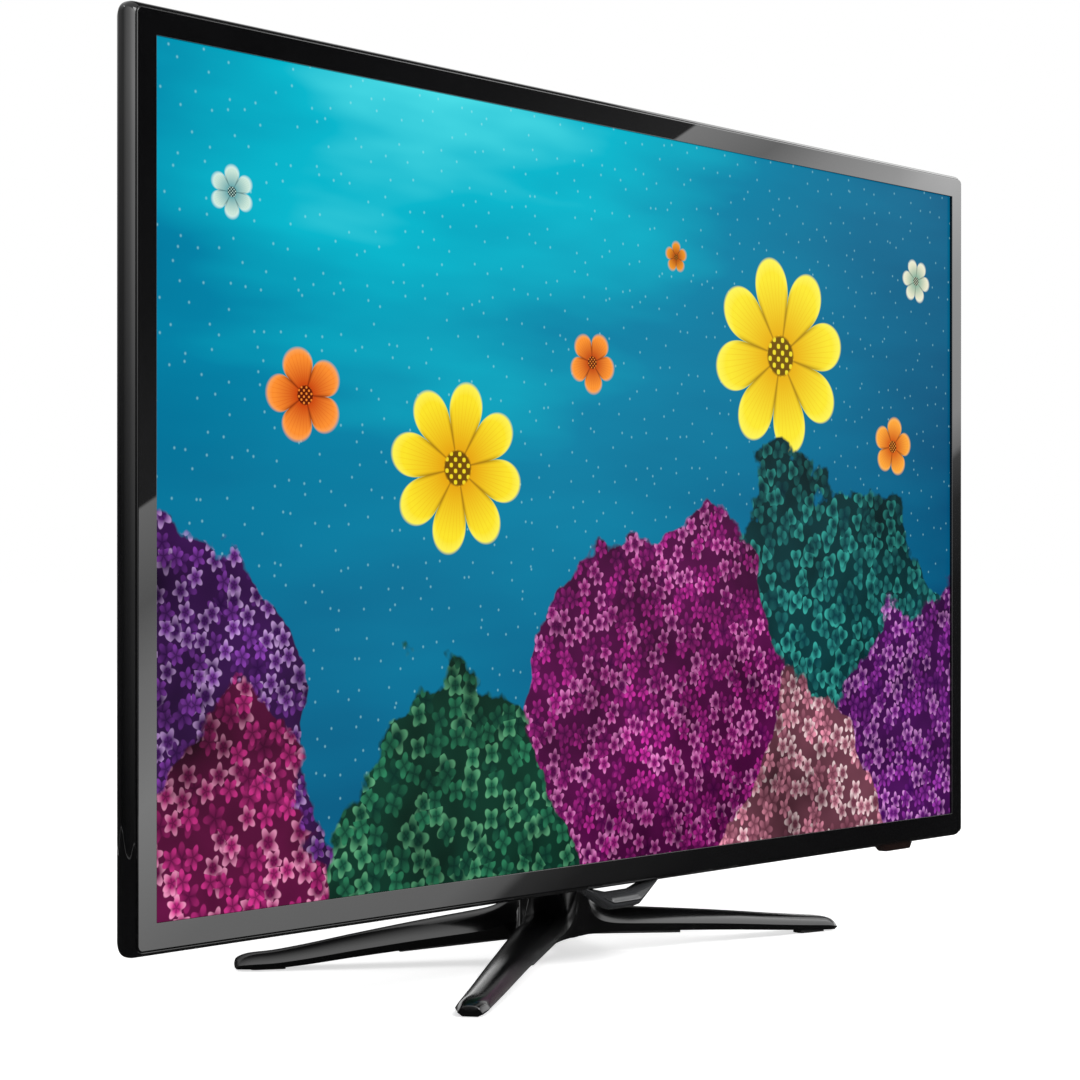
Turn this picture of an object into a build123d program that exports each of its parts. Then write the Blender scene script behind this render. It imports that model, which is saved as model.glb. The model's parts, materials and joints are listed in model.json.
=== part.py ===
from build123d import *
import os
from math import atan2, cos, degrees, hypot, radians, sin

# A 40-inch class flat screen tv on a four-legged swivel stand.
# X runs to the viewer's right, Y runs from the screen to the back, Z is up.
# The origin is on the swivel axis, on the table. All lengths are in millimetres.
# A depth is a distance behind the front bezel's face.

# Small lengths that serve the whole model
overrun = 1.0
near_gap = 0.3
slide_gap = 0.06
no_corner = 0.0

# Front bezel, seen from the front
opening_width = 889.0
opening_height = 501.5
opening_bottom = 74.5
side_border = 15.0
top_border = 15.0
bottom_border = 15.7
face_corner = 4.0
face_round = 0.8
lip_thickness = 2.3
skirt_wall = 2.0
skirt_depth = 12.0

# Crowned band round the set's edge
band_bulge = 3.4
band_front = 1.2
band_back = 15.6
band_corner = 6.0
band_profile_shares = [(0.0, 0.2), (0.1, 0.55), (0.3, 0.9), (0.56, 1.0), (0.8, 0.85), (1.0, 0.3)]

# Swivel axis and the turn of the stand in the photographed pose
swivel_setback = 66.0
stand_turn_degrees = 6.0
half_turn_degrees = 180.0

# Screen stack, from the front
cell_overlap = 6.0
cell_thickness = 1.4
polariser_thickness = 0.2
polariser_margin = 2.0
frame_wall = 2.0
frame_gap = 1.0
frame_back = 9.5
shelf_thickness = 1.2
shelf_margin = 2.0
sheet_thickness = 0.3
sheet_overlap = 5.0
diffuser_thickness = 1.5

# Backlight
mouth_margin = 2.0
tub_slope_run = 35.0
reflector_floor = 29.8
bar_thickness = 1.2
bar_width = 16.0
bar_end_inset = 44.5
bar_count = 4
lens_count = 8
lens_end_inset = 32.5
lens_radius = 6.5
lens_height = 4.5
lens_gap = 0.5
chassis_thickness = 1.0
post_foot_radius = 5.0
post_tip_radius = 1.2
post_gap = 0.5

# Column boards and films along the panel's top edge
column_board_length = 330.0
column_board_width = 11.0
column_board_thickness = 1.0
column_board_spread = 190.0
column_board_drop = 1.6
film_width = 34.0
film_thickness = 0.2
film_pitch = 80.0
film_count = 4
flex_width = 40.0
flex_gap = 0.2

# Rear cover
cover_wall = 2.5
cover_front = 12.3
rim_depth = 16.0
rim_inset = 1.5
rim_corner = 4.0
pan_side_inset = 49.5
pan_bottom_inset = 46.2
pan_top_inset = 46.0
pan_room = 4.5
pan_corner = 30.0
hump_root_depth = 22.0
hump_bottom_inset = 2.2
hump_side_margin = 62.0
hump_side_slope = 26.0
hump_top_margin = 69.0
hump_top_slope = 44.0
hump_neck_margin = 5.0
hump_corner = 22.0
vent_width = 3.0
vent_length = 26.0
vent_pitch = 12.0
vent_count = 30
vent_inset = 10.0

# Wall mount
wall_hole_spacing = 200.0
wall_hole_inset = 32.0
wall_hole_radius = 4.0
wall_hole_depth = 20.0
standoff_radius = 9.0
standoff_neck_radius = 7.0
cup_radius = 14.0
cup_depth = 29.0

# Rear cover screws
cover_screw_inset = 25.0
cover_screw_pitch = 125.0
cover_screw_rows = 3
top_screw_spread = 200.0
top_screw_rise = 11.0
cover_screw_radius = 2.0
cover_screw_head_radius = 3.8
cover_screw_head_height = 1.8
cover_screw_reach = 1.8
boss_radius = 5.5
screw_hole_gap = 0.15
cross_width = 0.9
cross_depth = 0.9
cross_share = 0.55

# Boards and what stands on them
board_thickness = 1.6
board_rise = 2.0
board_cup_gap = 2.5
board_inset = 8.0
post_radius = 3.5
board_screw_radius = 1.4
board_screw_head_radius = 2.8
board_screw_length = 6.0
board_screw_head_height = 1.5
main_width = 122.0
main_rise = 50.0
heat_sink_size = 52.0
heat_sink_base = 3.0
heat_sink_height = 13.0
heat_sink_fin_count = 8
heat_sink_fin_share = 0.45
chip_height = 2.0
power_width = 126.0
power_height = 200.0
power_rise = 20.0
transformer_width = 42.0
transformer_height = 30.0
transformer_depth = 24.0
transformer_core_share = 0.4
capacitor_radius = 9.0
capacitor_length = 32.0
capacitor_rise = 0.3
power_sink_length = 90.0
power_sink_height = 22.0
power_sink_thickness = 3.0
timing_width = 170.0
timing_height = 56.0
timing_inset = 19.0
timing_rise = 4.0
timing_chip_size = 18.0
timing_chip_height = 1.4

# Socket pocket on the viewer's left and mains pocket on the viewer's right
pocket_board_gap = 4.0
pocket_margin = 2.0
pocket_end_run = 16.0
mains_board_gap = 5.0
mains_rise = 10.0
mains_pocket_height = 60.0
inlet_width = 22.0
inlet_depth = 15.0
inlet_length = 22.0
inlet_wall = 2.5
inlet_hollow = 15.0
inlet_pin_radius = 1.2
inlet_pin_spread = 4.3
inlet_pin_length = 9.0
socket_gap = 0.3
socket_length = 14.0
socket_wall = 0.6
lan_rise = 21.0
lan_width = 16.0
lan_depth = 13.5
hdmi_pitch = 27.0
hdmi_count = 3
hdmi_width = 15.2
hdmi_depth = 6.2
hdmi_usb_run = 27.0
usb_pitch = 23.0
usb_count = 2
usb_width = 14.2
usb_depth = 6.8
usb_optical_run = 23.0
optical_width = 10.0
optical_hole = 5.4
optical_audio_run = 18.0
audio_pitch = 16.0
audio_count = 2
audio_radius = 4.0
audio_hole_radius = 1.8
audio_aerial_run = 21.0
aerial_radius = 4.8
aerial_hole_radius = 2.4

# Speakers
speaker_inner_edge = 135.0
speaker_side_gap = 18.0
speaker_rise = 4.0
speaker_back_gap = 17.0
speaker_height = 44.0
speaker_wall = 2.0
driver_margin = 3.0
driver_height = 16.0
driver_rim_height = 2.0
driver_magnet_share = 0.6
driver_cone_share = 0.35
grille_slot_width = 2.5
grille_slot_length = 30.0
grille_margin = 21.0
grille_slot_count = 14

# Sensor lens and its board under the lower border
sensor_side_inset = 95.5
sensor_width = 45.0
sensor_front = 3.0
sensor_back = 11.0
sensor_drop = 4.4
sensor_taper = 6.0
sensor_board_width = 60.0
sensor_board_rise = 1.7
sensor_board_thickness = 1.0
receiver_width = 6.0

# Badge cradle under the middle of the lower border, left bare
cradle_top_half = 38.5
cradle_lip_half = 16.5
cradle_drop = 11.5
cradle_rim_drop = 5.6
cradle_arm = 5.5
cradle_front = 2.2
cradle_back = 15.0
cradle_face_run = 5.0
cradle_ear_half = 5.0

# Jog controller on the back
jog_side_inset = 50.0
jog_rise = 45.0
jog_pivot_inset = 7.0
jog_board_size = 30.0
jog_board_rise = 1.0
jog_case_radius = 9.5
jog_case_bore = 7.5
jog_case_gap = 0.9
jog_case_floor = 1.6
gimbal_radius = 7.0
gimbal_bore = 4.8
gimbal_thickness = 2.0
jog_pin_radius = 0.8
jog_pin_end = 0.5
jog_hub_radius = 3.4
jog_hub_thickness = 2.4
stick_radius = 2.4
stick_reach = 4.5
stick_bore_depth = 6.5
cap_stem_radius = 1.5
cap_travel = 0.8
cap_clearance = 0.2
cap_radius = 7.5
cap_thickness = 5.0
cap_round = 1.0
jog_hole_radius = 11.0

# Stand legs, in the stand's own frame with the front towards the viewer
front_tip_side = 246.0
front_tip_forward = 96.0
back_tip_side = 163.0
back_tip_backward = 152.0
leg_root_half_width = 18.0
leg_middle_half_width = 14.5
leg_tip_half_width = 11.0
leg_hub_underside = 17.5
leg_hub_reach = 30.0
leg_start = 8.0
leg_tip_underside = 1.5
leg_root_thickness = 21.0
leg_tip_thickness = 10.0
leg_root_reach = 60.0
foot_share = 0.62
side_line_share = 0.42
leg_middle_share = 0.5
tip_width_share = 0.72
tip_height_share = 0.62
tip_chamfer = 7.0

# Neck and its flare into the legs
neck_cover_gap = 0.8
neck_radius = 26.0
flare_shares = [(0.0, 0.86), (0.17, 0.5), (0.4, 0.2), (0.73, 0.05)]

# Steel core, under plate and feet
core_margin = 2.3
core_thickness = 6.0
core_end_margin = 44.0
core_cover_gap = 0.3
core_disc_radius = 20.0
core_disc_thickness = 7.0
core_tube_radius = 19.2
core_tube_bore = 17.2
tool_hole_radius = 10.0
under_plate_reach = 110.0
under_plate_thickness = 1.5
under_plate_margin = 0.4
pad_length = 24.0
pad_half_width = 5.5
pad_end_margin = 22.0
pad_height = 4.0
stand_screw_reach = 70.0
stand_screw_radius = 1.5
stand_screw_head_radius = 2.8
stand_screw_head_height = 1.1
stand_screw_length = 6.0

# Swivel
spindle_radius = 14.0
spindle_bottom = 30.0
bush_bottom = 39.0
bush_flange_radius = 20.5
bush_flange_height = 2.4
thrust_washer_thickness = 1.2
thrust_gap = 0.1
cover_neck_gap = 1.5
washer_thickness = 2.0
washer_radius = 16.0
nut_height = 5.0
nut_radius = 13.0
nut_spindle_radius = 8.0
bracket_foot_thickness = 4.0
bracket_half_width = 55.0
bracket_height = 198.1
bracket_plate = 3.0
bracket_foot_gap = 0.5
gusset_height = 62.0
gusset_spread = 42.0
bracket_screw_spread = 40.0
bracket_screw_inset = 27.0
bracket_screw_pitch = 50.0
bracket_screw_rows = 3
bracket_screw_length = 3.6

# Leads
lead_radius = 2.5
lead_rise = 30.0
lead_sag = 9.0
lead_depth_clearance = 1.5
lead_side_shares = [1.0, 0.75, 0.45, 0.15, -0.15, -0.45, -0.75, -1.0]
lead_dip_shares = [0.0, 0.0, 0.7, 1.0, 0.95, 0.7, 0.0, 0.0]
bend_share = 0.45

# Places and sizes that follow, the front and the screen first
face_half = opening_width / 2 + side_border
face_bottom = opening_bottom - bottom_border
face_top = opening_bottom + opening_height + top_border
opening_top = opening_bottom + opening_height
opening_middle = opening_bottom + opening_height / 2
cell_front = lip_thickness + polariser_thickness
cell_back = cell_front + cell_thickness
shelf_back = cell_back + shelf_thickness
prism_back = shelf_back + sheet_thickness
diffuser_front = prism_back + sheet_thickness
diffuser_back = diffuser_front + diffuser_thickness
chassis_front = diffuser_back + sheet_thickness
chassis_floor = reflector_floor + bar_thickness
chassis_back = chassis_floor + chassis_thickness
bar_length = opening_width - 2 * bar_end_inset
bar_pitch = opening_height / bar_count
lens_pitch = (bar_length - 2 * lens_end_inset) / (lens_count - 1)
post_spread = 2 * lens_pitch
sensor_centre = face_half - sensor_side_inset

# The rear cover's shape round the boards, the wall mount and the neck
timing_depth = chassis_back + timing_rise
timing_back = timing_depth + board_thickness
pan_depth = timing_back + timing_chip_height + pan_room + cover_wall
pan_inside = pan_depth - cover_wall
pan_half_width = face_half - pan_side_inset
pan_bottom = face_bottom + pan_bottom_inset
pan_top = face_top - pan_top_inset
timing_top = pan_top - timing_inset
timing_bottom = timing_top - timing_height
flex_slope_depth = timing_back + flex_gap
board_depth = pan_depth + board_rise
board_back = board_depth + board_thickness
cover_neck_hole = bush_flange_radius + cover_neck_gap
hump_depth = swivel_setback + cover_neck_hole + hump_neck_margin
hump_inside = hump_depth - cover_wall
hump_bottom = face_bottom + hump_bottom_inset
hump_foot_top = pan_top - hump_top_margin
hump_back_top = hump_foot_top - hump_top_slope
vent_top = hump_back_top - vent_inset
cup_floor = hump_depth - cup_depth
wall_hole_height = hump_back_top - wall_hole_inset - wall_hole_spacing / 2
board_inner_edge = wall_hole_spacing / 2 + cup_radius + cover_wall + board_cup_gap
main_right = -board_inner_edge
main_left = main_right - main_width
power_left = board_inner_edge
power_right = power_left + power_width
pocket_wall = pocket_board_gap - main_left
mains_wall = power_right + mains_board_gap
hump_foot_half_width = mains_wall + hump_side_margin
hump_back_half_width = hump_foot_half_width - hump_side_slope
cover_screw_spread = pan_half_width - cover_screw_inset
top_screw_height = hump_foot_top + top_screw_rise

# Heights along the two pockets and their boards
main_bottom = hump_bottom + main_rise
pocket_bottom = main_bottom + pocket_margin
lan_height = pocket_bottom + lan_rise
hdmi_middle = lan_height + hdmi_pitch * (hdmi_count + 1) / 2
usb_bottom = hdmi_middle + hdmi_pitch * (hdmi_count - 1) / 2 + hdmi_usb_run
usb_middle = usb_bottom + usb_pitch * (usb_count - 1) / 2
optical_height = usb_middle + usb_pitch * (usb_count - 1) / 2 + usb_optical_run
audio_bottom = optical_height + optical_audio_run
audio_middle = audio_bottom + audio_pitch * (audio_count - 1) / 2
aerial_height = audio_middle + audio_pitch * (audio_count - 1) / 2 + audio_aerial_run
pocket_top = aerial_height + pocket_end_run
main_top = pocket_top + pocket_margin
power_bottom = main_bottom + power_rise
power_top = power_bottom + power_height
mains_bottom = power_bottom + mains_rise
mains_top = mains_bottom + mains_pocket_height
mains_height = (mains_bottom + mains_top) / 2

# Speakers, jog controller, neck and stand bracket
speaker_front = chassis_back + speaker_rise
speaker_back = hump_depth - speaker_back_gap
speaker_outer_edge = hump_back_half_width - speaker_side_gap
speaker_bottom = hump_bottom + cover_wall + near_gap
speaker_top = speaker_bottom + speaker_height
driver_radius = (speaker_back - speaker_front) / 2 - driver_margin
grille_slot_pitch = (speaker_outer_edge - speaker_inner_edge - 2 * grille_margin) / (grille_slot_count - 1)
jog_centre = pan_half_width - jog_side_inset
jog_height = pan_bottom + jog_rise
jog_pivot_depth = pan_depth - jog_pivot_inset
jog_board_depth = chassis_back + jog_board_rise
jog_case_back = pan_inside - jog_case_gap
stick_end = pan_depth + stick_reach
neck_top = hump_bottom - neck_cover_gap
neck_bore = core_tube_radius + near_gap
washer_seat = neck_top + bush_flange_height
bracket_bottom = washer_seat + thrust_washer_thickness + thrust_gap
bracket_foot_top = bracket_bottom + bracket_foot_thickness
bracket_foot_back = hump_inside - bracket_foot_gap
bracket_top = bracket_bottom + bracket_height
bracket_screw_middle = bracket_top - bracket_screw_inset - bracket_screw_pitch * (bracket_screw_rows - 1) / 2
lead_height = bracket_top + lead_rise


def at_depth(depth):
    """The Y of a plane that lies this far behind the bezel's face."""
    return depth - swivel_setback


def sheet(left, right, bottom, top, corner, depth):
    """A rounded rectangle that faces the viewer."""
    middle = ((left + right) / 2, at_depth(depth), (bottom + top) / 2)
    plane = Plane(origin=middle, x_dir=(1, 0, 0), z_dir=(0, 1, 0))
    if corner > 0:
        return plane * RectangleRounded(right - left, top - bottom, corner)
    return plane * Rectangle(right - left, top - bottom)


def slab(left, right, bottom, top, corner, front, back):
    """A flat plate between two depths."""
    return extrude(sheet(left, right, bottom, top, corner, front), back - front)


def block(left, right, bottom, top, front, back):
    """A plain box between two corners."""
    return slab(left, right, bottom, top, no_corner, front, back)


def face_sheet(grow, corner, depth):
    """The bezel's outline, grown evenly."""
    return sheet(-face_half - grow, face_half + grow, face_bottom - grow, face_top + grow, corner, depth)


def opening_sheet(grow, depth, corner=no_corner):
    """The screen opening's outline, grown evenly."""
    half = opening_width / 2 + grow
    return sheet(-half, half, opening_bottom - grow, opening_top + grow, corner, depth)


def opening_slab(grow, front, back, corner=no_corner):
    """A plate with the screen opening's outline, grown evenly."""
    return extrude(opening_sheet(grow, front, corner), back - front)


def rod(x, z, radius, front, back):
    """A round rod along Y between two depths."""
    plane = Plane(origin=(x, at_depth(front), z), x_dir=(1, 0, 0), z_dir=(0, 1, 0))
    return extrude(plane * Circle(radius), back - front)


def side_rod(start, end, depth, z, radius):
    """A round rod along X."""
    plane = Plane(origin=(start, at_depth(depth), z), x_dir=(0, 1, 0), z_dir=(1, 0, 0))
    return extrude(plane * Circle(radius), end - start)


def upright(radius, bottom, top, x=0, y=0):
    """A round rod along Z."""
    plane = Plane(origin=(x, y, bottom))
    return extrude(plane * Circle(radius), top - bottom)


def both_sides(shape):
    """A shape and its mirror image across the middle."""
    return [shape, mirror(shape, Plane.YZ)]


def joined(shapes):
    """One solid from several that touch or overlap."""
    first, *rest = shapes
    return first.fuse(*rest) if rest else first


def without(shape, tools):
    """A shape with every tool cut from it."""
    return shape.cut(*tools) if tools else shape


def rear_screw(x, z, seat, length, radius, head_radius, head_height):
    """A cross-head screw driven from the back."""
    shank = rod(x, z, radius, seat - length, seat)
    head = rod(x, z, head_radius, seat, seat + head_height)
    top = seat + head_height
    arm = head_radius * cross_share
    thin = cross_width / 2
    upright_arm = block(x - thin, x + thin, z - arm, z + arm, top - cross_depth, top + overrun)
    level_arm = block(x - arm, x + arm, z - thin, z + thin, top - cross_depth, top + overrun)
    return without(joined([shank, head]), [upright_arm, level_arm])


def side_to_middle(length, count, pitch):
    """Centres of an even row about the middle."""
    return [length + (index - (count - 1) / 2) * pitch for index in range(count)]


def sensor_block(gap):
    """The sensor lens, grown by a gap. Its left end tapers as it drops."""
    left = sensor_centre - sensor_width / 2 - gap
    right = sensor_centre + sensor_width / 2 + gap
    low = face_bottom - band_bulge - sensor_drop - gap
    high = face_bottom + skirt_wall
    outline = Polyline(
        (left, high),
        (left, face_bottom - band_bulge),
        (left + sensor_taper, low),
        (right - sensor_taper / 2, low),
        (right, face_bottom - band_bulge),
        (right, high),
        close=True,
    )
    plane = Plane(origin=(0, at_depth(sensor_back + gap), 0), x_dir=(1, 0, 0), z_dir=(0, -1, 0))
    return extrude(plane * make_face(outline), sensor_back - sensor_front + 2 * gap)


def cradle_ears(gap):
    """The two upright ends by which the badge cradle hangs from the bezel."""
    inner = cradle_top_half - cradle_ear_half - gap
    ear = block(
        inner,
        cradle_top_half + gap,
        face_bottom - band_bulge - cradle_arm - gap,
        face_bottom,
        cradle_front - gap,
        cradle_back + gap,
    )
    return both_sides(ear)


def front_bezel():
    body = extrude(face_sheet(0, face_corner, 0), skirt_depth)
    body = fillet(body.faces().sort_by(Axis.Y)[0].edges(), face_round)
    hollow = extrude(face_sheet(-skirt_wall, face_corner - skirt_wall, lip_thickness), skirt_depth)
    opening = opening_slab(0, -overrun, skirt_depth)
    return without(body, [hollow, opening, sensor_block(near_gap)])


def outer_band():
    sections = []
    for depth_share, bulge_share in band_profile_shares:
        depth = band_front + depth_share * (band_back - band_front)
        sections.append(face_sheet(band_bulge * bulge_share, band_corner, depth))
    body = loft(sections, ruled=True)
    inside = extrude(face_sheet(near_gap, face_corner + near_gap, 0), band_back + overrun)
    return without(body, [inside, sensor_block(near_gap), *cradle_ears(near_gap)])


def badge_cradle():
    base = face_bottom - band_bulge
    outer = Polyline(
        (-cradle_top_half, face_bottom),
        (-cradle_top_half, base),
        (-cradle_lip_half - cradle_arm, base - cradle_drop + cradle_arm / 2),
        (-cradle_lip_half, base - cradle_drop),
        (cradle_lip_half, base - cradle_drop),
        (cradle_lip_half + cradle_arm, base - cradle_drop + cradle_arm / 2),
        (cradle_top_half, base),
        (cradle_top_half, face_bottom),
        close=True,
    )
    inner = Polyline(
        (-cradle_top_half + cradle_ear_half, face_bottom + overrun),
        (-cradle_top_half + cradle_ear_half, base),
        (-cradle_lip_half, base - cradle_rim_drop),
        (cradle_lip_half, base - cradle_rim_drop),
        (cradle_top_half - cradle_ear_half, base),
        (cradle_top_half - cradle_ear_half, face_bottom + overrun),
        close=True,
    )
    plane = Plane(origin=(0, at_depth(cradle_back), 0), x_dir=(1, 0, 0), z_dir=(0, -1, 0))
    depth = cradle_back - cradle_front
    loop = extrude(plane * make_face(outer), depth).cut(extrude(plane * make_face(inner), depth))
    lip_y = at_depth(cradle_front)
    slope = Polyline(
        (lip_y - overrun, base - cradle_drop + cradle_arm / 2),
        (lip_y, base - cradle_drop + cradle_arm / 2),
        (lip_y + cradle_face_run, base),
        (lip_y - overrun, base),
        close=True,
    )
    slope_plane = Plane(origin=(-cradle_top_half, 0, 0), x_dir=(0, 1, 0), z_dir=(1, 0, 0))
    wedge = extrude(slope_plane * make_face(slope), 2 * cradle_top_half)
    back_y = at_depth(cradle_back)
    under = Polyline(
        (back_y + overrun, base - cradle_drop - overrun),
        (back_y + overrun, base - cradle_rim_drop),
        (back_y, base - cradle_rim_drop),
        (lip_y + cradle_face_run / 2, base - cradle_drop - overrun),
        close=True,
    )
    cut_below = extrude(slope_plane * make_face(under), 2 * cradle_top_half)
    return without(loop, [wedge, cut_below])


def sensor_lens():
    return sensor_block(0)


def sensor_board():
    bottom = face_bottom + skirt_wall + sensor_board_rise
    half = sensor_board_width / 2
    board = block(
        sensor_centre - half,
        sensor_centre + half,
        bottom,
        bottom + sensor_board_thickness,
        sensor_front,
        sensor_back,
    )
    receiver = block(
        sensor_centre - receiver_width / 2,
        sensor_centre + receiver_width / 2,
        face_bottom + skirt_wall,
        bottom,
        sensor_front,
        sensor_front + receiver_width,
    )
    return joined([board, receiver])


def front_polariser():
    return opening_slab(cell_overlap - polariser_margin, lip_thickness, cell_front)


def lcd_cell():
    return opening_slab(cell_overlap, cell_front, cell_back)


def rear_polariser():
    return opening_slab(shelf_margin - near_gap, cell_back, cell_back + polariser_thickness)


def panel_frame():
    grow = cell_overlap + frame_gap + frame_wall
    body = opening_slab(grow, lip_thickness, frame_back, corner=frame_wall)
    front_room = opening_slab(cell_overlap + frame_gap, lip_thickness - overrun, cell_back)
    window = opening_slab(shelf_margin, lip_thickness, frame_back)
    back_room = opening_slab(sheet_overlap + near_gap, shelf_back, frame_back + overrun)
    notches = []
    for x in film_places():
        half = film_width / 2 + frame_gap
        past = opening_top + grow + overrun
        notches.append(block(x - half, x + half, opening_top, past, lip_thickness, cell_back))
    return without(body, [front_room, window, back_room, *notches])


def film_places():
    """Centres of the driver films, on both column boards."""
    right = side_to_middle(column_board_spread, film_count, film_pitch)
    return right + [-x for x in right]


def board_shelf():
    """Height of the column boards' underside, above the panel frame."""
    return opening_top + cell_overlap + frame_gap + frame_wall + column_board_drop


def column_boards():
    bottom = board_shelf() - column_board_thickness
    board = block(
        column_board_spread - column_board_length / 2,
        column_board_spread + column_board_length / 2,
        bottom,
        bottom + column_board_thickness,
        cell_back,
        cell_back + column_board_width,
    )
    return both_sides(board)


def driver_films():
    films = []
    low = opening_top + cell_overlap
    high = board_shelf()
    middle = cell_front + cell_thickness / 2
    for x in film_places():
        left = x - film_width / 2
        right = x + film_width / 2
        rise = block(left, right, low, high + film_thickness, middle, middle + film_thickness)
        run = block(left, right, high, high + film_thickness, middle, middle + column_board_width)
        films.append(joined([rise, run]))
    return films


def flex_strip(points, thickness):
    """A flat strip bent along a path of depths and heights, with one face on the path."""
    near = [(at_depth(depth), height) for depth, height in points]
    far = [(at_depth(depth + thickness), height + thickness) for depth, height in reversed(points)]
    plane = Plane(origin=(0, 0, 0), x_dir=(0, 1, 0), z_dir=(1, 0, 0))
    return extrude(plane * make_face(Polyline(*near, *far, close=True)), flex_width)


def panel_flex_cables():
    start = cell_back + column_board_width
    top = board_shelf() - column_board_thickness
    points = [
        (start, top),
        (start + near_gap, top),
        (flex_slope_depth, pan_top - lead_sag / 2),
        (flex_slope_depth, timing_top - board_inset),
    ]
    strip = flex_strip(points, sheet_thickness)
    right = Pos(timing_width / 2 - flex_width - near_gap, 0, 0) * strip
    return both_sides(right)


def prism_sheet():
    return opening_slab(sheet_overlap, shelf_back, prism_back)


def diffuser_sheet():
    return opening_slab(sheet_overlap, prism_back, diffuser_front)


def diffuser_plate():
    return opening_slab(sheet_overlap, diffuser_front, diffuser_back)


def bar_heights():
    return side_to_middle(opening_middle, bar_count, bar_pitch)


def lens_places():
    return side_to_middle(0, lens_count, lens_pitch)


def tub(front, floor, thickness, gap):
    """A shallow tray with sloping sides and a flange round its mouth."""
    mouth = gap - mouth_margin
    bottom = mouth - tub_slope_run
    outer_bottom = opening_sheet(bottom + thickness, floor + thickness)
    outside = loft([opening_sheet(mouth + thickness, front), outer_bottom])
    inside = loft([opening_sheet(mouth, front), opening_sheet(bottom, floor)])
    flange = opening_slab(sheet_overlap, front, front + thickness)
    flange = flange.cut(opening_slab(mouth, front - overrun, front + thickness + overrun))
    return joined([outside.cut(inside), flange])


def reflector():
    floor = reflector_floor - sheet_thickness
    holes = []
    for z in bar_heights():
        for x in lens_places():
            holes.append(rod(x, z, lens_radius + lens_gap, floor - overrun, reflector_floor + overrun))
    return without(tub(diffuser_back, floor, sheet_thickness, 0), holes)


def diffuser_posts():
    floor = reflector_floor - sheet_thickness
    posts = []
    for x in (-post_spread, 0, post_spread):
        for z in (opening_middle - bar_pitch, opening_middle, opening_middle + bar_pitch):
            foot = Plane(origin=(x, at_depth(floor), z), x_dir=(1, 0, 0), z_dir=(0, -1, 0))
            tip = Plane(origin=(x, at_depth(diffuser_back + post_gap), z), x_dir=(1, 0, 0), z_dir=(0, -1, 0))
            posts.append(loft([foot * Circle(post_foot_radius), tip * Circle(post_tip_radius)]))
    return posts


def led_bars():
    bars = []
    end = bar_length / 2
    half = bar_width / 2
    for z in bar_heights():
        bars.append(block(-end, end, z - half, z + half, reflector_floor, chassis_floor))
    return bars


def led_lenses():
    lenses = []
    for z in bar_heights():
        for x in lens_places():
            dome = rod(x, z, lens_radius, reflector_floor - lens_height, reflector_floor)
            edge = dome.faces().sort_by(Axis.Y)[0].edges()
            lenses.append(fillet(edge, lens_height / 2))
    return lenses


def cover_screw_places():
    places = []
    for z in side_to_middle(opening_middle, cover_screw_rows, cover_screw_pitch):
        places += [(-cover_screw_spread, z), (cover_screw_spread, z)]
    return places + [(-top_screw_spread, top_screw_height), (top_screw_spread, top_screw_height)]


def bracket_screw_places():
    heights = side_to_middle(bracket_screw_middle, bracket_screw_rows, bracket_screw_pitch)
    return [(side * bracket_screw_spread, z) for side in (-1, 1) for z in heights]


def backlight_chassis():
    tray = tub(chassis_front, chassis_floor, chassis_thickness, near_gap)
    hole = cover_screw_radius + screw_hole_gap
    places = cover_screw_places() + bracket_screw_places()
    holes = [rod(x, z, hole, chassis_floor - overrun, chassis_back + overrun) for x, z in places]
    return without(tray, holes)


def wall_places():
    half = wall_hole_spacing / 2
    return [(x, z) for x in (-half, half) for z in (wall_hole_height - half, wall_hole_height + half)]


def wall_standoffs():
    standoffs = []
    for x, z in wall_places():
        base = rod(x, z, standoff_radius, chassis_back, cup_floor - cover_wall)
        neck = rod(x, z, standoff_neck_radius, cup_floor - cover_wall, cup_floor)
        bore = rod(x, z, wall_hole_radius, cup_floor - wall_hole_depth, cup_floor + overrun)
        standoffs.append(joined([base, neck]).cut(bore))
    return standoffs


def hump(wall):
    """The deep part of the rear cover, drawn in by a wall."""
    foot = sheet(
        -hump_foot_half_width + wall,
        hump_foot_half_width - wall,
        hump_bottom + wall,
        hump_foot_top - wall,
        hump_corner - wall,
        hump_root_depth,
    )
    back = sheet(
        -hump_back_half_width + wall,
        hump_back_half_width - wall,
        hump_bottom + wall,
        hump_back_top - wall,
        hump_corner - wall,
        hump_depth - wall,
    )
    return loft([foot, back])


def pan(wall):
    """The shallow part of the rear cover, drawn in by a wall."""
    rim = face_sheet(-rim_inset - wall, rim_corner, rim_depth)
    back = sheet(
        -pan_half_width + wall,
        pan_half_width - wall,
        pan_bottom + wall,
        pan_top - wall,
        pan_corner - wall,
        pan_depth - wall,
    )
    return loft([rim, back])


def pockets(wall):
    """The two recesses at the hump's ends, grown by a wall."""
    far = hump_foot_half_width + overrun
    front = pan_depth - wall
    back = hump_depth + overrun
    left = block(-far, -pocket_wall + wall, pocket_bottom - wall, pocket_top + wall, front, back)
    right = block(mains_wall - wall, far, mains_bottom - wall, mains_top + wall, front, back)
    return [left, right]


def socket_mouths(gap):
    """The openings in the pocket walls, one for each socket."""
    mouths = []
    front = board_back - gap
    outside = -pocket_wall - overrun
    inside = -pocket_wall + cover_wall + overrun
    for z, width, depth in rectangular_sockets():
        half = width / 2 + gap
        mouths.append(block(outside, inside, z - half, z + half, front, board_back + depth + gap))
    for z, radius in round_sockets():
        mouths.append(side_rod(outside, inside, board_back + radius, z, radius + gap))
    half = inlet_width / 2 + gap
    mouths.append(
        block(
            mains_wall - cover_wall - overrun,
            mains_wall + overrun,
            mains_height - half,
            mains_height + half,
            front,
            board_back + inlet_depth + gap,
        )
    )
    return mouths


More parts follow.
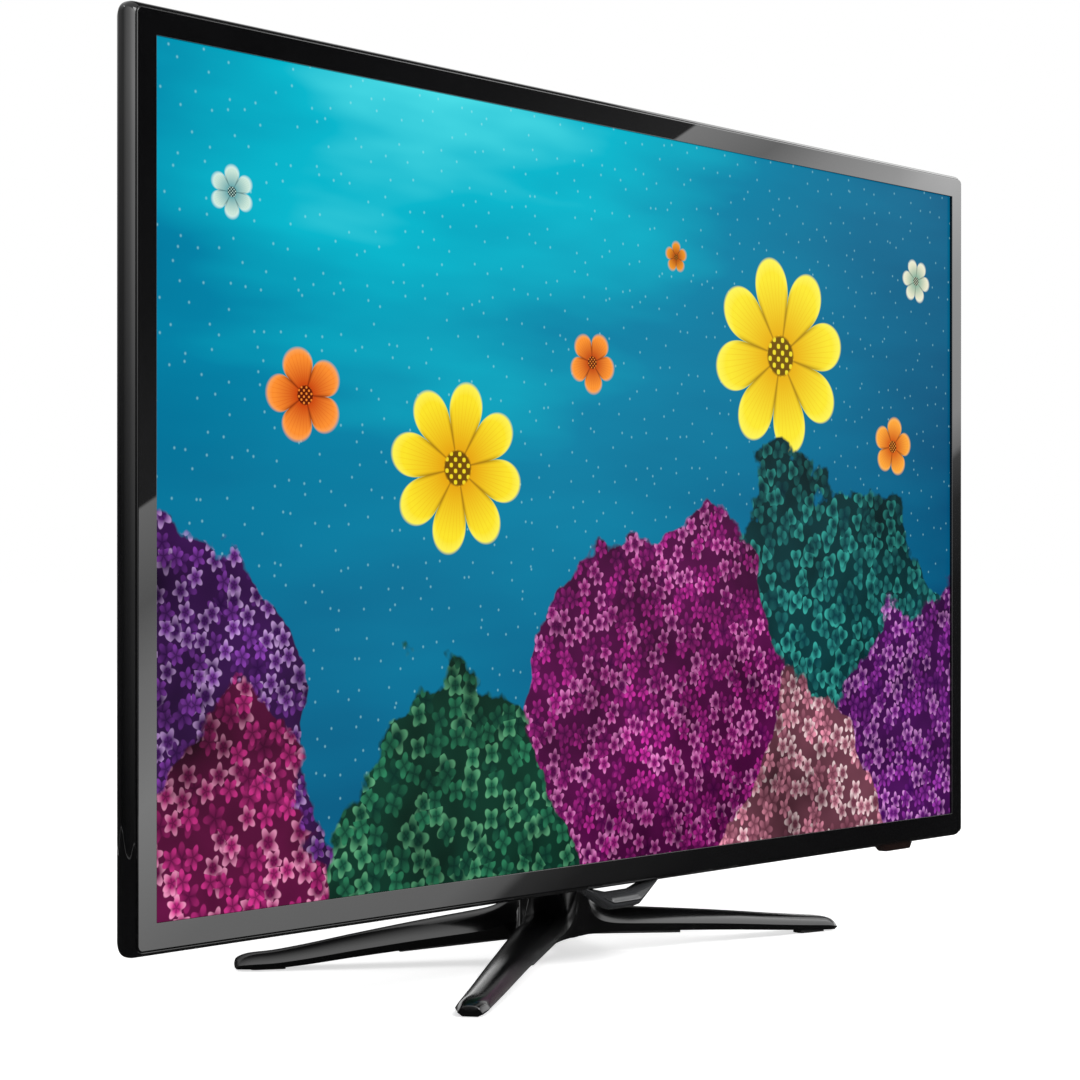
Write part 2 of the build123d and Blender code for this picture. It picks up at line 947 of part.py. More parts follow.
def hdmi_heights():
    return side_to_middle(hdmi_middle, hdmi_count, hdmi_pitch)


def usb_heights():
    return side_to_middle(usb_middle, usb_count, usb_pitch)


def audio_heights():
    return side_to_middle(audio_middle, audio_count, audio_pitch)


def rectangular_sockets():
    """Height, width and depth of each box-shaped socket on the main board."""
    sockets = [(z, hdmi_width, hdmi_depth) for z in hdmi_heights()]
    sockets += [(z, usb_width, usb_depth) for z in usb_heights()]
    return sockets + [(lan_height, lan_width, lan_depth), (optical_height, optical_width, optical_width)]


def round_sockets():
    """Height and radius of each round socket on the main board."""
    return [(z, audio_radius) for z in audio_heights()] + [(aerial_height, aerial_radius)]


def grille_slots():
    slots = []
    middle = (speaker_inner_edge + speaker_outer_edge) / 2
    depth = (speaker_front + speaker_back) / 2
    for x in side_to_middle(middle, grille_slot_count, grille_slot_pitch):
        half = grille_slot_width / 2
        reach = grille_slot_length / 2
        low = hump_bottom - overrun
        high = hump_bottom + cover_wall + overrun
        slots += both_sides(block(x - half, x + half, low, high, depth - reach, depth + reach))
    return slots


def rear_vents():
    vents = []
    half = vent_width / 2
    front = hump_inside - overrun
    back = hump_depth + overrun
    for x in side_to_middle(0, vent_count, vent_pitch):
        vents.append(block(x - half, x + half, vent_top - vent_length, vent_top, front, back))
    return vents


def rear_cover():
    rim = extrude(face_sheet(-near_gap, rim_corner, cover_front), rim_depth - cover_front)
    rim_room = extrude(face_sheet(-rim_inset - cover_wall, rim_corner, cover_front), rim_depth - cover_front)
    outside = joined([rim, pan(0), hump(0)]).cut(*pockets(0))
    inside = joined([rim_room, pan(cover_wall), hump(cover_wall)]).cut(*pockets(cover_wall))
    cups = [rod(x, z, cup_radius, cup_floor, hump_depth + overrun) for x, z in wall_places()]
    cup_back = cup_floor - cover_wall
    cup_outer = cup_radius + cover_wall
    cup_walls = [rod(x, z, cup_outer, cup_back, hump_inside + overrun) for x, z in wall_places()]
    inside = inside.cut(*cup_walls)
    neck_hole_radius = standoff_neck_radius + near_gap
    neck_holes = [
        rod(x, z, neck_hole_radius, cup_back - overrun, cup_floor + overrun) for x, z in wall_places()
    ]
    shell = outside.cut(inside).cut(*cups, *neck_holes)
    bosses = [rod(x, z, boss_radius, chassis_back, pan_inside + overrun) for x, z in cover_screw_places()]
    shell = joined([shell, *bosses])
    seat = pan_depth - cover_screw_head_height
    hole = cover_screw_radius + screw_hole_gap
    holes = []
    for x, z in cover_screw_places():
        holes.append(rod(x, z, hole, chassis_back - overrun, pan_depth + overrun))
        holes.append(rod(x, z, cover_screw_head_radius + near_gap, seat, hump_depth))
    neck_hole = upright(cover_neck_hole, hump_bottom - overrun, hump_bottom + cover_wall + overrun)
    jog_hole = rod(jog_centre, jog_height, jog_hole_radius, pan_inside - overrun, pan_depth + overrun)
    tools = holes + [neck_hole, jog_hole] + socket_mouths(socket_gap) + grille_slots() + rear_vents()
    return without(shell, tools)


def cover_screws():
    seat = pan_depth - cover_screw_head_height
    length = seat - chassis_back + cover_screw_reach
    sizes = (length, cover_screw_radius, cover_screw_head_radius, cover_screw_head_height)
    return [rear_screw(x, z, seat, *sizes) for x, z in cover_screw_places()]


def board_corners(left, right, bottom, top):
    """Places of a board's four screws."""
    xs = (left + board_inset, right - board_inset)
    zs = (bottom + board_inset, top - board_inset)
    return [(x, z) for x in xs for z in zs]


def board_screw_places():
    main = board_corners(main_left, main_right, main_bottom, main_top)
    return main + board_corners(power_left, power_right, power_bottom, power_top)


def board(left, right, bottom, top):
    holes = [
        rod(x, z, board_screw_radius + screw_hole_gap, board_depth - overrun, board_back + overrun)
        for x, z in board_corners(left, right, bottom, top)
    ]
    return without(block(left, right, bottom, top, board_depth, board_back), holes)


def main_board():
    return board(main_left, main_right, main_bottom, main_top)


def power_board():
    return board(power_left, power_right, power_bottom, power_top)


def board_posts():
    posts = []
    hole = board_screw_radius + screw_hole_gap
    for x, z in board_screw_places():
        post = rod(x, z, post_radius, chassis_back, board_depth)
        bore = rod(x, z, hole, board_depth - board_screw_length, board_depth + overrun)
        posts.append(post.cut(bore))
    return posts


def board_screws():
    length = board_screw_length + board_thickness - screw_hole_gap
    sizes = (length, board_screw_radius, board_screw_head_radius, board_screw_head_height)
    return [rear_screw(x, z, board_back, *sizes) for x, z in board_screw_places()]


def main_heat_sink():
    x = (main_left + main_right) / 2 + socket_length
    z = (main_bottom + main_top) / 2
    half = heat_sink_size / 2
    chip = half * heat_sink_fin_share
    base_front = board_back + chip_height
    body = block(x - half, x + half, z - half, z + half, base_front, base_front + heat_sink_base)
    pieces = [body, block(x - chip, x + chip, z - chip, z + chip, board_back, base_front)]
    pitch = heat_sink_size / heat_sink_fin_count
    thick = pitch * heat_sink_fin_share / 2
    fin_front = base_front + heat_sink_base
    fin_back = base_front + heat_sink_height
    for fin in side_to_middle(x, heat_sink_fin_count, pitch):
        pieces.append(block(fin - thick, fin + thick, z - half, z + half, fin_front, fin_back))
    return joined(pieces)


def box_socket(z, width, depth, hollow_width, hollow_depth):
    """A box-shaped socket whose mouth is flush with the pocket's wall."""
    start = -pocket_wall
    middle = board_back + depth / 2
    body = block(start, start + socket_length, z - width / 2, z + width / 2, board_back, board_back + depth)
    hollow = block(
        start - overrun,
        start + socket_length - socket_wall,
        z - hollow_width / 2,
        z + hollow_width / 2,
        middle - hollow_depth / 2,
        middle + hollow_depth / 2,
    )
    return body.cut(hollow)


def hdmi_sockets():
    inner_width = hdmi_width - 2 * socket_wall
    inner_depth = hdmi_depth - 2 * socket_wall
    return [box_socket(z, hdmi_width, hdmi_depth, inner_width, inner_depth) for z in hdmi_heights()]


def usb_sockets():
    inner_width = usb_width - 2 * socket_wall
    inner_depth = usb_depth - 2 * socket_wall
    return [box_socket(z, usb_width, usb_depth, inner_width, inner_depth) for z in usb_heights()]


def lan_socket():
    wall = 4 * socket_wall
    return box_socket(lan_height, lan_width, lan_depth, lan_width - wall, lan_depth - wall)


def optical_socket():
    return box_socket(optical_height, optical_width, optical_width, optical_hole, optical_hole)


def round_socket(z, radius, hole_radius):
    """A round socket on a square foot, flush with the pocket's wall."""
    start = -pocket_wall
    waist = start + socket_length / 2
    end = start + socket_length
    middle = board_back + radius
    tube = side_rod(start, waist, middle, z, radius)
    foot = block(waist, end, z - radius, z + radius, board_back, board_back + 2 * radius)
    hole = side_rod(start - overrun, end - socket_wall, middle, z, hole_radius)
    return joined([tube, foot]).cut(hole)


def audio_sockets():
    return [round_socket(z, audio_radius, audio_hole_radius) for z in audio_heights()]


def aerial_socket():
    return round_socket(aerial_height, aerial_radius, aerial_hole_radius)


def mains_inlet():
    middle = board_back + inlet_depth / 2
    start = mains_wall - inlet_length
    body = block(
        start,
        mains_wall,
        mains_height - inlet_width / 2,
        mains_height + inlet_width / 2,
        board_back,
        board_back + inlet_depth,
    )
    hollow = block(
        mains_wall - inlet_hollow,
        mains_wall + overrun,
        mains_height - inlet_width / 2 + inlet_wall,
        mains_height + inlet_width / 2 - inlet_wall,
        board_back + inlet_wall,
        board_back + inlet_depth - inlet_wall,
    )
    pieces = [body.cut(hollow)]
    for z in (mains_height - inlet_pin_spread, mains_height + inlet_pin_spread):
        root = mains_wall - inlet_hollow
        pieces.append(side_rod(root, root + inlet_pin_length, middle, z, inlet_pin_radius))
    return joined(pieces)


def power_transformer():
    x = power_left + board_inset + transformer_width
    z = (power_bottom + power_top) / 2
    half = transformer_width / 2
    reach = transformer_height / 2
    core = reach * transformer_core_share
    back = board_back + transformer_depth
    step = board_inset / 2
    winding = block(x - half + step, x + half - step, z - reach, z + reach, board_back, back)
    yoke = block(x - half, x + half, z - core, z + core, board_back, back - step)
    return joined([winding, yoke])


def power_capacitors():
    capacitors = []
    x = power_left + 4 * board_inset + capacitor_radius
    top = power_top - 2 * board_inset
    middle = at_depth(board_back + capacitor_rise + capacitor_radius)
    for place in (0, 1):
        centre_x = x + place * (2 * capacitor_radius + board_inset / 2)
        can = upright(capacitor_radius, top - capacitor_length, top, centre_x, middle)
        foot = block(
            centre_x - capacitor_radius / 2,
            centre_x + capacitor_radius / 2,
            top - capacitor_length,
            top,
            board_back,
            board_back + capacitor_radius,
        )
        capacitors.append(joined([can, foot]))
    return capacitors


def power_heat_sink():
    x = power_right - 2 * board_inset
    low = power_bottom + board_inset + 2 * post_radius
    bottom = mains_height + inlet_width / 2 + board_inset
    return block(
        x - power_sink_thickness,
        x,
        max(low, bottom),
        max(low, bottom) + power_sink_length,
        board_back,
        board_back + power_sink_height,
    )


def timing_board():
    half = timing_width / 2
    plate = block(-half, half, timing_bottom, timing_top, timing_depth, timing_depth + board_thickness)
    middle = (timing_bottom + timing_top) / 2
    half_chip = timing_chip_size / 2
    chip_front = timing_depth + board_thickness
    chip_back = chip_front + timing_chip_height
    chip = block(-half_chip, half_chip, middle - half_chip, middle + half_chip, chip_front, chip_back)
    pieces = [plate, chip]
    for x, z in board_corners(-half, half, timing_bottom, timing_top):
        pieces.append(rod(x, z, post_radius, chassis_back, timing_depth))
    return joined(pieces)


def speaker_boxes():
    box = block(
        speaker_inner_edge,
        speaker_outer_edge,
        speaker_bottom,
        speaker_top,
        speaker_front,
        speaker_back,
    )
    room = block(
        speaker_inner_edge + speaker_wall,
        speaker_outer_edge - speaker_wall,
        speaker_bottom + speaker_wall,
        speaker_top - speaker_wall,
        speaker_front + speaker_wall,
        speaker_back - speaker_wall,
    )
    x = (speaker_inner_edge + speaker_outer_edge) / 2
    y = at_depth((speaker_front + speaker_back) / 2)
    hole = upright(driver_radius, speaker_bottom - overrun, speaker_bottom + speaker_wall + overrun, x, y)
    return both_sides(box.cut(room, hole))


def speaker_drivers():
    x = (speaker_inner_edge + speaker_outer_edge) / 2
    y = at_depth((speaker_front + speaker_back) / 2)
    rim_bottom = speaker_bottom + speaker_wall
    rim = upright(driver_radius + speaker_wall / 2, rim_bottom, rim_bottom + driver_rim_height, x, y)
    magnet = upright(driver_radius * driver_magnet_share, rim_bottom, rim_bottom + driver_height, x, y)
    cone = upright(driver_radius * driver_cone_share, rim_bottom - speaker_wall / 2, rim_bottom, x, y)
    return both_sides(joined([rim, magnet, cone]))


def power_lead():
    """The lead from the power board to the main board, over the stand bracket."""
    level = at_depth(board_back + lead_radius + lead_depth_clearance)
    reach = power_left + board_inset
    shares = zip(lead_side_shares, lead_dip_shares)
    points = [(side * reach, level - dip * lead_sag, lead_height) for side, dip in shares]
    path = FilletPolyline(*points, radius=lead_bends(points))
    start = Plane(origin=path @ 0, z_dir=path % 0)
    return sweep(start * Circle(lead_radius), path=path)


def lead_bends(points):
    """The bend radius at each inner point, as large as its two runs allow."""
    radii = []
    for before, here, after in zip(points, points[1:], points[2:]):
        first = Vector(*here) - Vector(*before)
        second = Vector(*after) - Vector(*here)
        half_turn = radians(first.get_angle(second)) / 2
        shorter = min(first.length, second.length)
        radii.append(bend_share * shorter * cos(half_turn) / sin(half_turn))
    return radii


def lead_plugs():
    """The plugs that hold the power lead on the two boards."""
    reach = power_left + board_inset
    low = lead_height - 2 * lead_radius
    high = lead_height + 2 * lead_radius
    depth = board_back + lead_radius + lead_depth_clearance
    plug = block(reach, reach + 2 * board_inset, low, high, board_back, depth + 2 * lead_radius)
    return both_sides(plug)


def jog_board():
    half = jog_board_size / 2
    edges = (jog_centre - half, jog_centre + half, jog_height - half, jog_height + half)
    pieces = [block(*edges, jog_board_depth, jog_board_depth + board_thickness)]
    for x, z in board_corners(*edges):
        pieces.append(rod(x, z, post_radius, chassis_back, jog_board_depth))
    return joined(pieces)


def jog_cross_rod(start, end, radius):
    """A rod along X through the jog pivot."""
    return side_rod(jog_centre + start, jog_centre + end, jog_pivot_depth, jog_height, radius)


def jog_upright_rod(start, end, radius):
    """A rod along Z through the jog pivot."""
    return upright(radius, jog_height + start, jog_height + end, jog_centre, at_depth(jog_pivot_depth))


def jog_case():
    foot = jog_board_depth + board_thickness
    body = rod(jog_centre, jog_height, jog_case_radius, foot, jog_case_back)
    room = rod(jog_centre, jog_height, jog_case_bore, foot + jog_case_floor, jog_case_back + overrun)
    pins = jog_cross_rod(-jog_case_radius - overrun, jog_case_radius + overrun, jog_pin_radius + slide_gap)
    return body.cut(room, pins)


def jog_gimbal():
    front = jog_pivot_depth - gimbal_thickness / 2
    back = jog_pivot_depth + gimbal_thickness / 2
    ring = rod(jog_centre, jog_height, gimbal_radius, front, back)
    reach = jog_case_radius - jog_pin_end
    shape = joined([ring, jog_cross_rod(-reach, reach, jog_pin_radius)])
    room = rod(jog_centre, jog_height, gimbal_bore, front - overrun, back + overrun)
    pins = jog_upright_rod(-gimbal_radius - overrun, gimbal_radius + overrun, jog_pin_radius + slide_gap)
    return shape.cut(room, pins)


def jog_stick():
    front = jog_pivot_depth - jog_hub_thickness / 2
    back = jog_pivot_depth + jog_hub_thickness / 2
    hub = rod(jog_centre, jog_height, jog_hub_radius, front, back)
    tube = rod(jog_centre, jog_height, stick_radius, back, stick_end)
    reach = gimbal_radius - jog_pin_end
    pins = jog_upright_rod(-reach, reach, jog_pin_radius)
    bore_front = stick_end - stick_bore_depth
    bore = rod(jog_centre, jog_height, cap_stem_radius + slide_gap, bore_front, stick_end + overrun)
    return joined([hub, tube, pins]).cut(bore)


def jog_cap():
    front = stick_end + cap_travel + cap_clearance
    stem_end = stick_end - stick_bore_depth + cap_travel + cap_clearance
    stem = rod(jog_centre, jog_height, cap_stem_radius, stem_end, front)
    button = rod(jog_centre, jog_height, cap_radius, front, front + cap_thickness)
    button = fillet(button.faces().sort_by(Axis.Y)[-1].edges(), cap_round)
    return joined([stem, button])


def stand_bracket():
    half = bracket_half_width
    foot = block(-half, half, bracket_bottom, bracket_foot_top, chassis_back, bracket_foot_back)
    plate_back = chassis_back + bracket_plate
    plate = block(-half, half, bracket_bottom, bracket_top, chassis_back, plate_back)
    profile = Polyline(
        (at_depth(plate_back), bracket_foot_top),
        (at_depth(bracket_foot_back), bracket_foot_top),
        (at_depth(plate_back), bracket_foot_top + gusset_height),
        close=True,
    )
    plane = Plane(origin=(gusset_spread, 0, 0), x_dir=(0, 1, 0), z_dir=(1, 0, 0))
    gusset = extrude(plane * make_face(profile), bracket_plate)
    shape = joined([foot, plate, *both_sides(gusset)])
    hole = cover_screw_radius + screw_hole_gap
    holes = [rod(x, z, hole, chassis_back - overrun, plate_back + overrun) for x, z in bracket_screw_places()]
    bore = upright(spindle_radius, bracket_bottom - overrun, bracket_foot_top + overrun)
    return without(shape, [bore, *holes])


def bracket_screws():
    seat = chassis_back + bracket_plate
    sizes = (bracket_screw_length, cover_screw_radius, cover_screw_head_radius, cover_screw_head_height)
    return [rear_screw(x, z, seat, *sizes) for x, z in bracket_screw_places()]


def swivel_spindle():
    shoulder = bush_bottom - near_gap
    thick = upright(spindle_radius, shoulder, bracket_foot_top)
    thin = upright(nut_spindle_radius, spindle_bottom, shoulder)
    return joined([thick, thin])


def retaining_washer():
    top = bush_bottom - near_gap
    ring = upright(washer_radius, top - washer_thickness, top)
    return ring.cut(upright(nut_spindle_radius, top - washer_thickness - overrun, top + overrun))


def retaining_nut():
    top = bush_bottom - near_gap - washer_thickness
    hexagon = extrude(Plane(origin=(0, 0, top - nut_height)) * RegularPolygon(nut_radius, 6), nut_height)
    return hexagon.cut(upright(nut_spindle_radius, top - nut_height - overrun, top + overrun))


def swivel_bush():
    sleeve = upright(core_tube_bore - slide_gap, bush_bottom, neck_top)
    flange = upright(bush_flange_radius, neck_top, washer_seat)
    bore = upright(spindle_radius + slide_gap, bush_bottom - overrun, washer_seat + overrun)
    return joined([sleeve, flange]).cut(bore)


def thrust_washer():
    top = washer_seat + thrust_washer_thickness
    ring = upright(bush_flange_radius, washer_seat, top)
    return ring.cut(upright(spindle_radius + near_gap, washer_seat - overrun, top + overrun))


def front_leg_length():
    return hypot(front_tip_side, front_tip_forward)


def back_leg_length():
    return hypot(back_tip_side, back_tip_backward)


def legs():
    """Length and direction in degrees of each leg, from the swivel axis."""
    front = degrees(atan2(-front_tip_forward, front_tip_side))
    back = degrees(atan2(back_tip_backward, back_tip_side))
    return [
        (front_leg_length(), front),
        (front_leg_length(), half_turn_degrees - front),
        (back_leg_length(), back),
        (back_leg_length(), half_turn_degrees - back),
    ]


def underside(along, length):
    """Height of a leg's underside at a distance from the swivel axis."""
    share = max(0, along - leg_hub_reach) / (length - leg_hub_reach)
    return leg_hub_underside + (leg_tip_underside - leg_hub_underside) * share


def leg_half_width(along, length):
    """Half of a leg's width at a distance from the swivel axis."""
    middle = length * leg_middle_share
    if along <= leg_hub_reach:
        return leg_root_half_width
    if along <= middle:
        share = (along - leg_hub_reach) / (middle - leg_hub_reach)
        return leg_root_half_width + share * (leg_middle_half_width - leg_root_half_width)
    share = (along - middle) / (length - middle)
    return leg_middle_half_width + share * (leg_tip_half_width - leg_middle_half_width)


def leg_top(along, length, flare):
    """Height of a leg's ridge, raised towards the neck's top by a share called flare."""
    thickness = leg_root_thickness + (leg_tip_thickness - leg_root_thickness) * along / length
    plain = underside(along, length) + thickness
    return plain + flare * (neck_top - plain)


def across_leg(along):
    """The plane square to a leg at a distance from the swivel axis."""
    return Plane(origin=(along, 0, 0), x_dir=(0, 1, 0), z_dir=(1, 0, 0))


def leg_section(along, half_width, low, high):
    """A leg's section: a narrow foot, a side line and a crowned top."""
    side = low + (high - low) * side_line_share
    foot = half_width * foot_share
    edges = [
        Line((-foot, low), (foot, low)),
        Line((foot, low), (half_width, side)),
        ThreePointArc((half_width, side), (0, high), (-half_width, side)),
        Line((-half_width, side), (-foot, low)),
    ]
    return across_leg(along) * make_face(edges)


def leg_body(length):
    """One leg along X, from the swivel axis to its chamfered tip."""
    flare_reach = leg_root_reach - leg_hub_reach
    places = [(leg_start, 1)]
    places += [(leg_hub_reach + share * flare_reach, flare) for share, flare in flare_shares]
    places += [(leg_root_reach, 0), (length * leg_middle_share, 0), (length - tip_chamfer, 0)]
    sections = []
    for along, flare in places:
        low = underside(along, length)
        high = leg_top(along, length, flare)
        sections.append(leg_section(along, leg_half_width(along, length), low, high))
    low = underside(length, length)
    high = low + leg_tip_thickness * tip_height_share
    sections.append(leg_section(length, leg_tip_half_width * tip_width_share, low, high))
    return loft(sections, ruled=True)


def leg_strip(length, reach, margin, bottom_offset, top_offset):
    """A flat bar that follows a leg's underside."""
    faces = []
    for along in (leg_start, leg_hub_reach, reach):
        low = underside(along, length) + bottom_offset
        high = underside(along, length) + top_offset
        half = leg_half_width(along, length) * foot_share - margin
        faces.append(across_leg(along) * Pos(0, (low + high) / 2) * Rectangle(2 * half, high - low))
    return loft(faces, ruled=True)


def on_legs(make):
    """The same piece made for each leg and turned to it."""
    return [Rot(0, 0, angle) * make(length) for length, angle in legs()]


def foot_pad(length):
    middle = length - pad_end_margin
    plane = Plane(origin=(middle, 0, 0))
    return extrude(plane * RectangleRounded(pad_length, 2 * pad_half_width, pad_half_width / 2), pad_height)


def screw_hole(length, gap):
    """The room of a stand screw, driven up through the under plate."""
    low = underside(stand_screw_reach, length) - under_plate_thickness
    head_top = low + stand_screw_head_height
    shank = upright(stand_screw_radius + gap, low, low + stand_screw_length + gap, stand_screw_reach)
    head = upright(stand_screw_head_radius + gap, low - gap, head_top, stand_screw_reach)
    return joined([shank, head])


def stand_core_arm(length):
    return leg_strip(length, length - core_end_margin, core_margin, 0, core_thickness)


def stand_core():
    arms = on_legs(stand_core_arm)
    disc = upright(core_disc_radius, leg_hub_underside, leg_hub_underside + core_disc_thickness)
    tube = upright(core_tube_radius, leg_hub_underside, neck_top)
    bore = upright(core_tube_bore, leg_hub_underside + core_disc_thickness, neck_top + overrun)
    tool_hole = upright(tool_hole_radius, 0, leg_hub_underside + core_disc_thickness + overrun)
    holes = on_legs(lambda length: screw_hole(length, screw_hole_gap))
    return joined([*arms, disc, tube]).cut(bore, tool_hole, *holes)


def stand_cover():
    neck = upright(neck_radius, leg_hub_underside, neck_top)
    body = joined([*on_legs(leg_body), neck])

    def pocket(length):
        reach = length - core_end_margin + core_cover_gap
        margin = core_margin - core_cover_gap
        return leg_strip(length, reach, margin, -overrun, core_thickness + core_cover_gap)

    disc_top = leg_hub_underside + core_disc_thickness + core_cover_gap
    disc_room = upright(core_disc_radius + core_cover_gap, 0, disc_top)
    tube_room = upright(neck_bore, 0, neck_top + overrun)
    return body.cut(*on_legs(pocket), disc_room, tube_room, *on_legs(foot_pad))


def under_plate():
    def arm(length):
        return leg_strip(length, under_plate_reach, under_plate_margin, -under_plate_thickness, 0)

    tool_hole = upright(tool_hole_radius, 0, leg_hub_underside + overrun)
    holes = on_legs(lambda length: screw_hole(length, screw_hole_gap))
    disc = upright(core_disc_radius, leg_hub_underside - under_plate_thickness, leg_hub_underside)
    return joined([*on_legs(arm), disc]).cut(tool_hole, *holes)


def foot_pads():
    return on_legs(foot_pad)


def stand_screws():
    return on_legs(lambda length: screw_hole(length, 0))


# The stand's pieces are made square to the set and turned to the photographed pose.
stand_pieces = {
    "stand_cover": stand_cover,
    "stand_core": stand_core,
    "under_plate": under_plate,
    "foot_pads": foot_pads,
    "stand_screws": stand_screws,
    "swivel_bush": swivel_bush,
    "thrust_washer": thrust_washer,
}

set_pieces = {
    "front_bezel": front_bezel,
    "outer_band": outer_band,
    "badge_cradle": badge_cradle,
    "sensor_lens": sensor_lens,
    "sensor_board": sensor_board,
    "front_polariser": front_polariser,
    "lcd_cell": lcd_cell,
    "rear_polariser": rear_polariser,
    "panel_frame": panel_frame,
    "column_boards": column_boards,
    "driver_films": driver_films,
    "panel_flex_cables": panel_flex_cables,
    "prism_sheet": prism_sheet,
    "diffuser_sheet": diffuser_sheet,
    "diffuser_plate": diffuser_plate,
    "reflector": reflector,
    "diffuser_posts": diffuser_posts,
    "led_bars": led_bars,
    "led_lenses": led_lenses,
    "backlight_chassis": backlight_chassis,
    "rear_cover": rear_cover,
    "cover_screws": cover_screws,
    "wall_standoffs": wall_standoffs,
    "main_board": main_board,
    "main_heat_sink": main_heat_sink,
    "hdmi_sockets": hdmi_sockets,
    "usb_sockets": usb_sockets,
    "lan_socket": lan_socket,
    "optical_socket": optical_socket,
    "audio_sockets": audio_sockets,
    "aerial_socket": aerial_socket,
    "power_board": power_board,
    "power_transformer": power_transformer,
    "power_capacitors": power_capacitors,
    "power_heat_sink": power_heat_sink,
    "mains_inlet": mains_inlet,
    "timing_board": timing_board,
    "board_posts": board_posts,
    "board_screws": board_screws,
    "power_lead": power_lead,
    "lead_plugs": lead_plugs,
    "speaker_boxes": speaker_boxes,
    "speaker_drivers": speaker_drivers,
    "stand_bracket": stand_bracket,
    "bracket_screws": bracket_screws,
    "swivel_spindle": swivel_spindle,
    "retaining_washer": retaining_washer,
    "retaining_nut": retaining_nut,
    "jog_board": jog_board,
    "jog_case": jog_case,
    "jog_gimbal": jog_gimbal,
    "jog_stick": jog_stick,
    "jog_cap": jog_cap,
}


def write_piece(name, shape):
    """One file for each piece. Several separate solids go into one group."""
    if isinstance(shape, list):
        solids = [solid for item in shape for solid in item.solids()]
        shape = Compound(solids)
    export_step(shape, os.path.join("parts", name + ".step"))


os.makedirs("parts", exist_ok=True)
for name, make in set_pieces.items():
    write_piece(name, make())
for name, make in stand_pieces.items():
    made = make()
    turned = [Rot(0, 0, stand_turn_degrees) * item for item in (made if isinstance(made, list) else [made])]
    write_piece(name, turned if len(turned) > 1 else turned[0])
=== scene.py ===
"""Looks of a 40-inch class flat screen tv on a four-legged swivel stand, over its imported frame."""

import json
import logging
import math
from dataclasses import dataclass, field
from enum import Enum

import bmesh
import bpy
import numpy as np
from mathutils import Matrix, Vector

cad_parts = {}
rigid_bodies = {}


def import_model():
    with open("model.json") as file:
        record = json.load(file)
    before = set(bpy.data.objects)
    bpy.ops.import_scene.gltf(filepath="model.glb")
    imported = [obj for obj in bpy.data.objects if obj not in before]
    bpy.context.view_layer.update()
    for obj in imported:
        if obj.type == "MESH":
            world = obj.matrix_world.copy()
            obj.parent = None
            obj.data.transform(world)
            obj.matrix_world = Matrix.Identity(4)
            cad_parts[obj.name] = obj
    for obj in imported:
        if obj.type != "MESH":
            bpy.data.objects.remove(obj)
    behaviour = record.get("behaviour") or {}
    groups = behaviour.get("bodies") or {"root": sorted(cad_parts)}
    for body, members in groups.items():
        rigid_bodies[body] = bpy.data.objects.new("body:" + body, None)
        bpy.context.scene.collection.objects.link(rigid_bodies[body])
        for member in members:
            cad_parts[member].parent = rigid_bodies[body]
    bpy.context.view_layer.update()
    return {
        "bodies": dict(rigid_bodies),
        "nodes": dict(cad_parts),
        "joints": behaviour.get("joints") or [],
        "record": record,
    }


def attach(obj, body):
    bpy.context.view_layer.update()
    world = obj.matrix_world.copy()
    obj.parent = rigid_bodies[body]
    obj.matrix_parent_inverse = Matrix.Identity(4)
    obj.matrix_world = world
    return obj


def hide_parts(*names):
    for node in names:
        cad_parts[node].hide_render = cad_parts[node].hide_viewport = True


LOG = logging.getLogger("tv_scene")
Array = np.ndarray
Tree = bpy.types.NodeTree
Piece = bpy.types.Object
Colour = tuple[float, float, float]
Place = tuple[float, float, float]
Points = tuple[tuple[float, float], ...]

# One millimetre in metres, and how far the swivel axis stands behind the bezel's face, in millimetres.
MM = 0.001
SETBACK = 66.0


# Surfaces


def at_depth(depth: float | Array) -> float | Array:
    """Y in millimetres of a depth behind the bezel's face."""
    return depth - SETBACK


def smooth_line(points: Points, at: Array) -> Array:
    """A smooth curve through given points.

    Formula: on each span a cubic that starts and ends with the slope between the neighbours on either side.

    Args:
        points: places and values, the places rising.
        at: where to work the curve out.

    Returns:
        The curve's values.
    """
    xs, ys = np.array(points, float).T
    slope = np.gradient(ys, xs)
    span = np.clip(np.searchsorted(xs, at, side="right") - 1, 0, len(xs) - 2)
    width = xs[span + 1] - xs[span]
    t = (at - xs[span]) / width
    return (
        (2 * t**3 - 3 * t**2 + 1) * ys[span]
        + (t**3 - 2 * t**2 + t) * width * slope[span]
        + (3 * t**2 - 2 * t**3) * ys[span + 1]
        + (t**3 - t**2) * width * slope[span + 1]
    )


def bezier(points: Array, t: Array) -> Array:
    """A cubic curve with four control points.

    Formula: (1-t)^3 A + 3 (1-t)^2 t B + 3 (1-t) t^2 C + t^3 D.

    Args:
        points: the four control points, one a row.
        t: shares along the curve.

    Returns:
        One point a row.
    """
    t = np.asarray(t, float)[:, None]
    a, b, c, d = np.asarray(points, float)
    return (1 - t) ** 3 * a + 3 * (1 - t) ** 2 * t * b + 3 * (1 - t) * t**2 * c + t**3 * d


